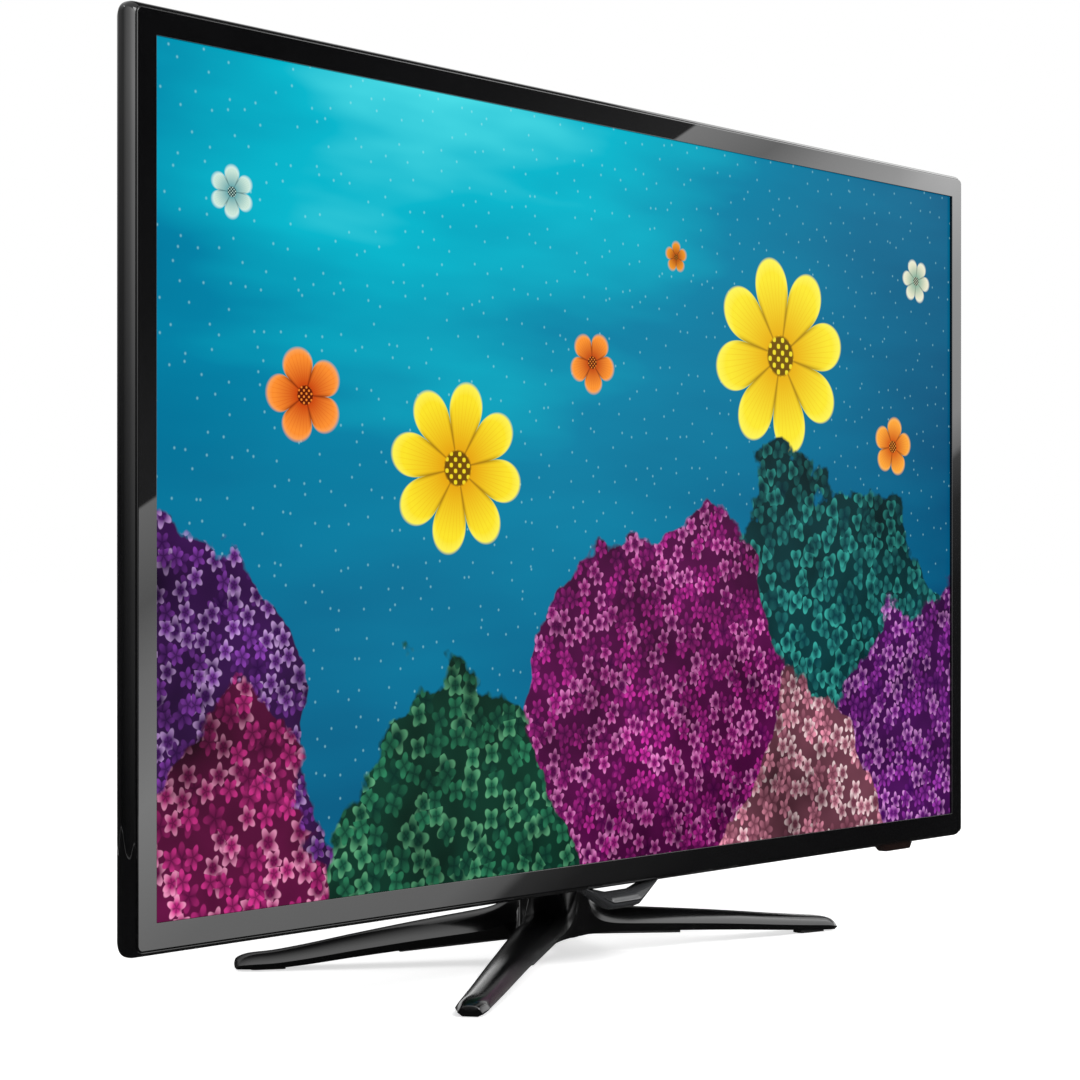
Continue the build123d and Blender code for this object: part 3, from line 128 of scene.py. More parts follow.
def rounded_ring(half: float, bottom: float, top: float, corner: float, arc: int, side: int) -> Array:
    """A closed rounded rectangle, from the middle of the right side upwards round.

    Formula: four quarter circles of the corner radius about the inset corners, joined by straight runs.

    Args:
        half: half its width.
        bottom: its lowest height.
        top: its highest height.
        corner: the corner radius.
        arc: spans in each corner.
        side: extra points along each straight run.

    Returns:
        The ring's (x, z) points.
    """
    turn = np.linspace(0, math.pi / 2, arc + 1)
    right, high, left, low = half - corner, top - corner, corner - half, bottom + corner
    corners = []
    for quarter, (x, z) in enumerate(((right, high), (left, high), (left, low), (right, low))):
        angle = turn + quarter * math.pi / 2
        corners.append(np.stack([x + corner * np.cos(angle), z + corner * np.sin(angle)], 1))
    share = np.linspace(0, 1, side + 2)[1:-1, None]
    runs = []
    for here, after in zip(corners, corners[1:] + corners[:1]):
        runs += [here, here[-1] * (1 - share) + after[0] * share]
    return np.concatenate(runs)


def upright(flat: Array, depth: float) -> Array:
    """A flat ring's points stood up at a depth behind the bezel's face."""
    return np.stack([flat[:, 0], np.full(len(flat), at_depth(depth)), flat[:, 1]], 1)


@dataclass
class Skin:
    """Grids of points gathered into one closed mesh. Lengths are in millimetres."""

    points: list[Array] = field(default_factory=list)
    faces: list[Array] = field(default_factory=list)
    count: int = 0

    def add(self, points: Array, faces: Array, flip: bool) -> None:
        """Adds points and the faces between them.

        Args:
            points: the points, in any shape that ends in three.
            faces: each face's points, counted from the first of these.
            flip: turns the faces round.
        """
        self.points.append(np.asarray(points, float).reshape(-1, 3))
        self.faces.append((faces[:, ::-1] if flip else faces) + self.count)
        self.count += len(self.points[-1])

    def grid(self, points: Array, wrap_rows: bool = False, wrap_columns: bool = False) -> None:
        """Adds a grid as four-sided faces.

        Args:
            points: rows by columns by three.
            wrap_rows: joins the last row to the first.
            wrap_columns: joins the last column to the first.
        """
        rows, columns = points.shape[:2]
        i = np.arange(rows if wrap_rows else rows - 1)[:, None]
        j = np.arange(columns if wrap_columns else columns - 1)[None, :]
        k, m = (i + 1) % rows, (j + 1) % columns
        quads = [i * columns + j, i * columns + m, k * columns + m, k * columns + j]
        self.add(points, np.stack(quads, -1).reshape(-1, 4), False)

    def fan(self, ring: Array, centre: Array, flip: bool = False) -> None:
        """Closes a ring with triangles to its centre.

        Args:
            ring: the ring's points.
            centre: the point in its middle.
            flip: turns the faces round.
        """
        n = len(ring)
        i = np.arange(n)
        self.add(np.vstack([ring, centre]), np.stack([i, (i + 1) % n, np.full(n, n)], 1), flip)

    def build(self, name: str, crease: float, weld: float = 0.002) -> Piece:
        """Makes the mesh object, with doubles merged and faces turned outwards.

        Args:
            name: the piece's name.
            crease: edges that turn by more degrees than this stay sharp.
            weld: points nearer than this, in millimetres, become one.

        Returns:
            The new object, at the origin.
        """
        mesh = bpy.data.meshes.new(name)
        faces = [face for block in self.faces for face in block.tolist()]
        mesh.from_pydata((np.vstack(self.points) * MM).tolist(), [], faces)
        shaped = bmesh.new()
        shaped.from_mesh(mesh)
        bmesh.ops.remove_doubles(shaped, verts=shaped.verts, dist=weld * MM)
        bmesh.ops.dissolve_degenerate(shaped, edges=shaped.edges, dist=weld * MM)
        bmesh.ops.recalc_face_normals(shaped, faces=shaped.faces)
        shaped.to_mesh(mesh)
        shaped.free()
        mesh.polygons.foreach_set("use_smooth", np.ones(len(mesh.polygons), bool))
        mesh.set_sharp_from_angle(angle=math.radians(crease))
        return placed_object(name, mesh)


def placed_object(name: str, data: bpy.types.ID) -> Piece:
    """A new object of some data, in the scene.

    Args:
        name: the object's name.
        data: its mesh, lamp or camera.

    Returns:
        The object, at the origin.
    """
    thing = bpy.data.objects.new(name, data)
    bpy.context.scene.collection.objects.link(thing)
    return thing


# Material parts


class Signal:
    """A node's output that takes part in sums: each operator adds the node that works it out."""

    def __init__(self, nodes: "Nodes", socket: bpy.types.NodeSocket) -> None:
        """Keeps the output and its tree's helper."""
        self.nodes, self.socket = nodes, socket

    def __add__(self, other: object) -> "Signal":
        """The sum."""
        return self.nodes.maths("ADD", self, other)

    def __radd__(self, other: object) -> "Signal":
        """The sum with a number before it."""
        return self.nodes.maths("ADD", other, self)

    def __sub__(self, other: object) -> "Signal":
        """The difference."""
        return self.nodes.maths("SUBTRACT", self, other)

    def __rsub__(self, other: object) -> "Signal":
        """A number less this."""
        return self.nodes.maths("SUBTRACT", other, self)

    def __mul__(self, other: object) -> "Signal":
        """The product."""
        return self.nodes.maths("MULTIPLY", self, other)

    def __truediv__(self, other: object) -> "Signal":
        """The quotient."""
        return self.nodes.maths("DIVIDE", self, other)

    def __abs__(self) -> "Signal":
        """Its size without its sign."""
        return self.nodes.maths("ABSOLUTE", self)

    def maths(self, operation: str, second: object = 0.0) -> "Signal":
        """Another sum, by its name."""
        return self.nodes.maths(operation, self, second)

    def band(self, low: float, high: float, to_low: float = 0.0, to_high: float = 1.0) -> "Signal":
        """The value moved from one range to another and held at its ends."""
        ranges = {"From_Min": low, "From_Max": high, "To_Min": to_low, "To_Max": to_high}
        return self.nodes.out("ShaderNodeMapRange", Value=self, **ranges)

    def part(self, axis: str) -> "Signal":
        """One part of a vector."""
        return self.nodes.out("ShaderNodeSeparateXYZ", axis, Vector=self)

    def channel(self, index: int) -> "Signal":
        """One channel of a colour."""
        return self.nodes.out("ShaderNodeSeparateColor", index, Color=self)


class Nodes:
    """A short way to lay out one material's or one group's nodes."""

    def __init__(self, tree: Tree) -> None:
        """Keeps the tree."""
        self.tree = tree

    def feed(self, socket: bpy.types.NodeSocket, value: object) -> None:
        """Links a signal to an input, or sets the input's value.

        Args:
            socket: the input.
            value: a signal, a number, a vector or a colour.
        """
        if isinstance(value, Signal):
            self.tree.links.new(value.socket, socket)
        else:
            socket.default_value = (*value, 1.0) if socket.type == "RGBA" else value

    def add(self, kind: str, **inputs: object) -> bpy.types.Node:
        """Adds a node.

        Args:
            kind: the node's type name.
            inputs: its inputs, by name with spaces written as underscores, or by _ and their number, and its
                settings, whose names here start with set_.

        Returns:
            The node.
        """
        node = self.tree.nodes.new(kind)
        for key in [key for key in inputs if key.startswith("set_")]:
            setattr(node, key[4:], inputs.pop(key))
        for key, value in inputs.items():
            self.feed(node.inputs[int(key[1:]) if key[0] == "_" else key.replace("_", " ")], value)
        return node

    def tap(self, node: bpy.types.Node, output: int | str = 0) -> Signal:
        """One of a node's outputs."""
        return Signal(self, node.outputs[output])

    def out(self, kind: str, output: int | str = 0, **inputs: object) -> Signal:
        """One output of a new node."""
        return self.tap(self.add(kind, **inputs), output)

    def place(self) -> Signal:
        """The piece's own coordinates."""
        return self.out("ShaderNodeTexCoord", "Object")

    def maths(self, operation: str, first: object, second: object = 0.0) -> Signal:
        """One sum on numbers."""
        return self.out("ShaderNodeMath", set_operation=operation, _0=first, _1=second)

    def noise(self, place: Signal, scale: object, detail: float = 3.0, rough: float = 0.5) -> Signal:
        """Smooth random values from 0 to 1."""
        inputs = {"Vector": place, "Scale": scale, "Detail": detail, "Roughness": rough}
        return self.out("ShaderNodeTexNoise", "Fac", **inputs)

    def mix(self, share: object, first: object, second: object, blend: str = "MIX") -> Signal:
        """Two colours mixed by a share."""
        settings = {"set_data_type": "RGBA", "set_blend_type": blend}
        return self.out("ShaderNodeMix", 2, **settings, _0=share, _6=first, _7=second)

    def stretched(self, place: Signal, scale: Place, turn: Place = (0, 0, 0)) -> Signal:
        """Coordinates stretched and turned."""
        return self.out("ShaderNodeMapping", Vector=place, Scale=scale, Rotation=turn)

    def bump(self, height: Signal, strength: float, distance: float) -> Signal:
        """A normal from a height, with its distance in millimetres."""
        return self.out("ShaderNodeBump", Strength=strength, Distance=distance * MM, Height=height)

    def effect(self, name: str, **numbers: float) -> dict[str, Signal]:
        """A shared effect at the piece's own coordinates.

        Args:
            name: the group's name.
            numbers: its number inputs.

        Returns:
            The group's outputs by name.
        """
        group = bpy.data.node_groups[name]
        node = self.add("ShaderNodeGroup", set_node_tree=group, Place=self.place(), **numbers)
        return {output.name: Signal(self, output) for output in node.outputs}


class Group(Nodes):
    """A shared node group that turns a place and named numbers into named numbers."""

    def __init__(self, name: str, **numbers: float) -> None:
        """Starts the group.

        Args:
            name: the group's name.
            numbers: its number inputs and their usual values.
        """
        super().__init__(bpy.data.node_groups.new(name, "ShaderNodeTree"))
        sockets = self.tree.interface
        sockets.new_socket("Place", in_out="INPUT", socket_type="NodeSocketVector")
        for key, value in numbers.items():
            socket = sockets.new_socket(key, in_out="INPUT", socket_type="NodeSocketFloat")
            socket.default_value = value
        self.inside = self.tree.nodes.new("NodeGroupInput")

    def given(self, name: str) -> Signal:
        """One of the group's inputs."""
        return self.tap(self.inside, name)

    def end(self, **results: Signal) -> None:
        """Ends the group.

        Args:
            results: its outputs by name.
        """
        for key in results:
            self.tree.interface.new_socket(key, in_out="OUTPUT", socket_type="NodeSocketFloat")
        self.add("NodeGroupOutput", **results)


def fine_wear() -> None:
    """Makes the group of cloudy haze and thin hairlines.

    Formula: the haze is large noise. The hairlines are the narrow crests of a noise stretched along one way,
    where the large noise is high.
    """
    group = Group("fine_wear", Size=30.0, Haze=0.5, Hairlines=0.5)
    cloud = group.noise(group.given("Place"), group.given("Size"), 4.0, 0.6)
    haze = cloud.band(0.45, 0.75) * group.given("Haze")
    along = group.stretched(group.given("Place"), (60.0, 60.0, 900.0), (0.3, 0.9, 0.2))
    crest = 1.0 - abs(group.noise(along, 1.0, 2.0) - 0.5).band(0.0, 0.012)
    lines = crest * cloud.band(0.5, 0.62) * group.given("Hairlines")
    group.end(Mask=haze + lines, Height=lines)


def moulded_grain() -> None:
    """Makes the group of leather-like grain.

    Formula: 0.8 times the distances in a fine pattern of cells, plus 0.35 times a finer noise.
    """
    group = Group("moulded_grain", Size=900.0)
    place, size = group.given("Place"), group.given("Size")
    settings = {"set_feature": "SMOOTH_F1", "Smoothness": 0.6}
    cells = group.out("ShaderNodeTexVoronoi", "Distance", Vector=place, Scale=size, **settings)
    fine = group.noise(place, size * 1.7)
    group.end(Height=cells * 0.8 + fine * 0.35, Mask=fine.band(0.35, 0.7))


def rolled_metal() -> None:
    """Makes the group of rolled or drawn metal: noise drawn out along one way, and crystal patches."""
    group = Group("rolled_metal", Size=40.0, Stretch=20.0)
    place, size = group.given("Place"), group.given("Size")
    scale = group.out("ShaderNodeCombineXYZ", X=size, Y=size, Z=size * group.given("Stretch"))
    lines = group.noise(group.stretched(place, scale), 1.0, 4.0, 0.65)
    patches = group.out("ShaderNodeTexVoronoi", "Color", Vector=place, Scale=size * 3.0)
    group.end(Lines=lines, Patches=patches.channel(0))


def new_material(name: str) -> tuple[bpy.types.Material, Nodes]:
    """A new material and the helper for its nodes.

    Args:
        name: the material's name.

    Returns:
        The material, with its first shader, and the helper.
    """
    material = bpy.data.materials.new(name)
    material.use_nodes = True
    return material, Nodes(material.node_tree)


def shade(colour: Colour, share: float, lift: float = 0.0) -> Colour:
    """A colour times a share plus a lift, held under 1."""
    return tuple(min(1.0, c * share + lift) for c in colour)


@dataclass(frozen=True)
class Finish:
    """One finish. Each kind works out its own values for the shader."""

    name: str
    colour: Colour

    def make(self) -> bpy.types.Material:
        """Makes the material.

        Returns:
            The material.
        """
        material, nodes = new_material(self.name)
        shader = material.node_tree.nodes["Principled BSDF"]
        for key, value in self.values(nodes).items():
            nodes.feed(shader.inputs[key.replace("_", " ")], value)
        material.diffuse_color = (*self.colour, 1.0)
        return material

    def values(self, nodes: Nodes) -> dict[str, object]:
        """The shader's inputs by name, with spaces written as underscores."""
        raise NotImplementedError


@dataclass(frozen=True)
class GlossPlastic(Finish):
    """Polished moulding: clear shine with faint haze and hairlines, softer below a height in millimetres."""

    rough: float = 0.04
    haze: float = 0.05
    low_haze: float = 0.0
    low_height: float = 58.0
    low_fade: float = 4.0

    def values(self, nodes: Nodes) -> dict[str, object]:
        """The shader's inputs.

        Args:
            nodes: the material's nodes.

        Returns:
            Their values by name.
        """
        wear = nodes.effect("fine_wear", Size=14.0, Haze=0.6, Hairlines=0.5)
        rough = wear["Mask"].band(0.0, 1.0, self.rough, self.rough + self.haze)
        if self.low_haze:
            start, top = (self.low_height - self.low_fade) * MM, self.low_height * MM
            rough = rough + nodes.place().part("Z").band(start, top, self.low_haze, 0.0)
        tint = nodes.mix(wear["Mask"], self.colour, shade(self.colour, 1.25, 0.001))
        dents = nodes.bump(wear["Height"] * -0.004, 0.5, 0.5)
        return {"Base_Color": tint, "Roughness": rough, "Normal": dents, "IOR": 1.5}


@dataclass(frozen=True)
class GrainedPlastic(Finish):
    """Matte moulding with a fine spark-eroded or leather-like grain."""

    size: float = 900.0
    rough: float = 0.48
    depth: float = 0.05

    def values(self, nodes: Nodes) -> dict[str, object]:
        """The shader's inputs.

        Args:
            nodes: the material's nodes.

        Returns:
            Their values by name.
        """
        grain = nodes.effect("moulded_grain", Size=self.size)
        slow = nodes.noise(nodes.place(), 12.0, 4.0, 0.6)
        tint = nodes.mix(slow.band(0.3, 0.7), shade(self.colour, 0.85), shade(self.colour, 1.25))
        rough = grain["Mask"].band(0.0, 1.0, self.rough - 0.05, self.rough + 0.06)
        rough = rough + slow.band(0.4, 0.8, 0.0, 0.05)
        cells = nodes.bump(grain["Height"], 0.6, self.depth)
        return {"Base_Color": tint, "Roughness": rough, "Normal": cells}


@dataclass(frozen=True)
class SheetMetal(Finish):
    """Rolled, plated or drawn metal, with its lines and faint crystal patches."""

    rough: float = 0.35
    size: float = 40.0
    stretch: float = 20.0
    patches: float = 0.3
    metallic: float = 1.0

    def values(self, nodes: Nodes) -> dict[str, object]:
        """The shader's inputs.

        Args:
            nodes: the material's nodes.

        Returns:
            Their values by name.
        """
        rolled = nodes.effect("rolled_metal", Size=self.size, Stretch=self.stretch)
        wear = nodes.effect("fine_wear", Size=20.0, Haze=0.8, Hairlines=0.6)
        uneven = rolled["Lines"] * 0.5 + rolled["Patches"] * self.patches
        tint = nodes.mix(uneven.band(0.1, 0.8), shade(self.colour, 0.82), shade(self.colour, 1.12))
        rough = uneven.band(0.0, 1.0, self.rough - 0.06, self.rough + 0.08) + wear["Mask"] * 0.12
        lines = nodes.bump(rolled["Lines"], 0.15, 0.05)
        return {"Base_Color": tint, "Roughness": rough, "Metallic": self.metallic, "Normal": lines}


@dataclass(frozen=True)
class SolderMask(Finish):
    """A circuit board: mask over copper tracks, with tinned pads on a grid."""

    copper: Colour = (0.09, 0.32, 0.16)
    tin: Colour = (0.62, 0.6, 0.55)

    def values(self, nodes: Nodes) -> dict[str, object]:
        """The shader's inputs.

        Formula: tracks are the joints of a brick pattern, pads the middles of a random pattern's cells.

        Args:
            nodes: the material's nodes.

        Returns:
            Their values by name.
        """
        place = nodes.place()
        pattern = {"set_distance": "MANHATTAN", "Scale": 170.0, "Randomness": 0.85}
        far = nodes.out("ShaderNodeTexVoronoi", "Distance", Vector=place, **pattern)
        pads = far.maths("LESS_THAN", 0.13)
        laid = nodes.stretched(place, (260.0, 260.0, 260.0), (math.pi / 2, 0, 0))
        tones = {"Color1": (0, 0, 0), "Color2": (0.4, 0.4, 0.4), "Mortar": (1, 1, 1), "Mortar_Size": 0.09}
        tracks = nodes.out("ShaderNodeTexBrick", "Color", Vector=laid, Scale=1.0, **tones).channel(0)
        tint = nodes.mix(pads, nodes.mix(tracks.band(0.2, 0.9), self.colour, self.copper), self.tin)
        rough = pads.band(0.0, 1.0, 0.3, 0.22) + nodes.noise(place, 60.0).band(0.3, 0.8, 0.0, 0.12)
        raised = nodes.bump(tracks + pads, 0.4, 0.05)
        return {"Base_Color": tint, "Roughness": rough, "Metallic": pads * 0.9, "Normal": raised}


@dataclass(frozen=True)
class ClearPart(Finish):
    """Clear moulded plastic or glass, with faint flow lines."""

    rough: float = 0.05
    clear: float = 0.9

    def values(self, nodes: Nodes) -> dict[str, object]:
        """The shader's inputs.

        Args:
            nodes: the material's nodes.

        Returns:
            Their values by name.
        """
        flow = nodes.noise(nodes.stretched(nodes.place(), (30.0, 30.0, 160.0)), 1.0)
        tint = nodes.mix(flow.band(0.3, 0.7), self.colour, shade(self.colour, 0.92))
        rough = flow.band(0.2, 0.8, self.rough, self.rough + 0.08)
        clear = {"Transmission_Weight": self.clear, "IOR": 1.49}
        return {"Base_Color": tint, "Roughness": rough, "Normal": nodes.bump(flow, 0.2, 0.05), **clear}


@dataclass(frozen=True)
class PaleSheet(Finish):
    """A white optical sheet or reflector, with a fine dot pattern and a slow yellowing."""

    rough: float = 0.5
    aged: Colour = (0.8, 0.79, 0.72)

    def values(self, nodes: Nodes) -> dict[str, object]:
        """The shader's inputs.

        Args:
            nodes: the material's nodes.

        Returns:
            Their values by name.
        """
        place = nodes.place()
        dots = nodes.out("ShaderNodeTexVoronoi", "Distance", Vector=place, Scale=650.0, Randomness=0.1)
        slow = nodes.noise(place, 9.0)
        tint = nodes.mix(dots.band(0.25, 0.5), shade(self.colour, 0.95), self.colour)
        tint = nodes.mix(slow.band(0.4, 0.8, 0.0, 0.12), tint, self.aged)
        rough = slow.band(0.3, 0.7, self.rough - 0.08, self.rough + 0.1)
        return {"Base_Color": tint, "Roughness": rough, "Normal": nodes.bump(dots, 0.3, 0.03)}


@dataclass(frozen=True)
class Rubber(Finish):
    """Moulded rubber: dull, slightly bloomed, with a fine skin."""

    rough: float = 0.75
    bloomed: Colour = (0.07, 0.068, 0.066)

    def values(self, nodes: Nodes) -> dict[str, object]:
        """The shader's inputs.

        Args:
            nodes: the material's nodes.

        Returns:
            Their values by name.
        """
        grain = nodes.effect("moulded_grain", Size=1500.0)
        bloom = nodes.noise(nodes.place(), 55.0, 5.0, 0.65)
        tint = nodes.mix(bloom.band(0.45, 0.75, 0.0, 0.6), self.colour, self.bloomed)
        rough = bloom.band(0.3, 0.8, self.rough - 0.1, self.rough + 0.1)
        return {"Base_Color": tint, "Roughness": rough, "Normal": nodes.bump(grain["Height"], 0.5, 0.04)}


class Canvas(Nodes):
    """The picture's nodes, with the place across and up it, from -1 to 1 across, and both as a vector."""

    def __init__(self, nodes: Nodes, middle: float, half_width: float) -> None:
        """Works out the places.

        Args:
            nodes: the material's nodes.
            middle: the height of the picture's middle, in millimetres.
            half_width: half the picture's width.
        """
        super().__init__(nodes.tree)
        place = self.place()
        self.across = place.part("X") / (half_width * MM)
        self.up = (place.part("Z") - middle * MM) / (half_width * MM)
        self.flat = self.out("ShaderNodeCombineXYZ", X=self.across, Y=self.up)


@dataclass(frozen=True)
class Blossom:
    """One large blossom that drifts in the picture."""

    across: float
    up: float
    radius: float
    warm: Colour
    deep: Colour
    petals: float = 5.0
    turn: float = 0.0
    squash: float = 0.86

    def over(self, canvas: Canvas, behind: Signal) -> Signal:
        """Lays the blossom over what is behind it.

        Formula: its edge lies at 0.5 + 0.5 |cos(petals x angle / 2)|^0.45 of the radius. Petals run from
        deep to warm, with fine veins, a dark line between neighbours, a pale rim and a dotted eye.

        Args:
            canvas: the picture's nodes.
            behind: the colour so far.

        Returns:
            The colour with the blossom on it.
        """
        x = (canvas.across - self.across) / self.radius
        y = (canvas.up - self.up) / (self.radius * self.squash)
        out = (x * x + y * y).maths("SQRT")
        angle = x.maths("ARCTAN2", y) + self.turn
        lobe = abs((angle * (self.petals / 2)).maths("COSINE"))
        edge = lobe.maths("POWER", 0.45) * 0.5 + 0.5
        soft = 0.003 / self.radius
        veins = abs((angle * (self.petals * 5.0)).maths("SINE"))
        tint = canvas.mix(out.band(0.15, 0.8), self.deep, self.warm)
        tint = canvas.mix(veins.band(0.35, 0.0) * out.band(1.0, 0.3, 0.1, 0.6), tint, self.deep)
        tint = canvas.mix(lobe.band(0.3, 0.02, 0.0, 0.75), tint, shade(self.deep, 0.35))
        tint = canvas.mix((out / edge).band(0.86, 1.0, 0.0, 0.6), tint, shade(self.warm, 1.2, 0.12))
        dots = (x * 48.0).maths("SINE") * (y * 48.0).maths("SINE")
        eye = canvas.mix(dots.band(0.2, 0.5), shade(self.deep, 0.2), shade(self.warm, 0.9))
        tint = canvas.mix(out.band(0.22, 0.19), tint, eye)
        return canvas.mix((edge - out).band(-soft, soft), behind, tint)


@dataclass(frozen=True)
class FlowerBank:
    """One bank of small flowers in the picture: an arch about a middle and a top, with a ragged edge."""

    middle: float
    top: float
    spread: float
    dark: Colour
    light: Colour
    pale: Colour
    size: float
    seed: float
    petals: float = 5.0

    @staticmethod
    def moved(canvas: Canvas, seed: float) -> Signal:
        """Places moved along by a seed."""
        return canvas.out("ShaderNodeMapping", Vector=canvas.flat, Location=(seed, seed * 0.37, 0.0))

    def layer(self, canvas: Canvas, behind: Signal, scale: float, seed: float, power: float) -> Signal:
        """One layer of flowers.

        Formula: in each cell of a random pattern the flower's edge lies at 0.38 + 0.1 cos(petals x angle +
        the cell's turn) from the cell's point. Petals pale towards the edge and each cell has its own
        brightness.

        Args:
            canvas: the picture's nodes.
            behind: the colour so far.
            scale: cells across a unit.
            seed: where the pattern starts.
            power: how bright the layer is.

        Returns:
            The colour with the layer on it.
        """
        place = self.moved(canvas, seed)
        pattern = {"set_voronoi_dimensions": "2D", "Scale": scale, "Randomness": 0.9}
        cells = canvas.add("ShaderNodeTexVoronoi", Vector=place, **pattern)
        middle, pick, out = (canvas.tap(cells, key) for key in ("Position", "Color", "Distance"))
        local = canvas.out("ShaderNodeVectorMath", set_operation="SUBTRACT", _0=place, _1=middle)
        angle = local.part("X").maths("ARCTAN2", local.part("Y"))
        wave = (angle * self.petals + pick.channel(0) * (2 * math.pi)).maths("COSINE")
        inside = (wave * 0.1 + 0.38 - out).band(0.0, 0.05)
        lift = pick.channel(1).band(0.0, 1.0, 0.35, 1.25) * power
        shape = out.band(0.02, 0.34, 0.25, 1.0) * wave.band(-1.0, 0.4, 0.5, 1.0)
        rim = pick.channel(2).maths("GREATER_THAN", 0.55) * out.band(0.16, 0.4, 0.0, 0.8)
        tint = canvas.mix(rim, canvas.mix(lift * shape, self.dark, self.light), self.pale)
        return canvas.mix(inside, behind, tint)

    def over(self, canvas: Canvas, behind: Signal) -> Signal:
        """Lays the bank over what is behind it.

        Formula: it shows where the height is under top - ((across - middle) / spread)^2 plus noise. Broad
        noise shades it.

        Args:
            canvas: the picture's canvas.
            behind: the colour so far.

        Returns:
            The colour with the bank on it.
        """
        place = self.moved(canvas, self.seed)
        offset = (canvas.across - self.middle) / self.spread
        ragged = canvas.noise(place, 4.0, 5.0).band(0.28, 0.72, -0.12, 0.12)
        inside = (self.top - offset * offset + ragged - canvas.up).band(0.0, 0.01)
        base = canvas.mix(0.5, self.dark, shade(self.light, 0.25))
        lower = self.layer(canvas, base, self.size * 0.8, self.seed, 0.55)
        upper = self.layer(canvas, lower, self.size, self.seed + 3.3, 1.0)
        tone = canvas.noise(place, 3.4, 3.0, 0.6).band(0.3, 0.66, 0.12, 1.15)
        grey = canvas.out("ShaderNodeCombineColor", _0=tone, _1=tone, _2=tone)
        return canvas.mix(inside, behind, canvas.mix(1.0, upper, grey, "MULTIPLY"))


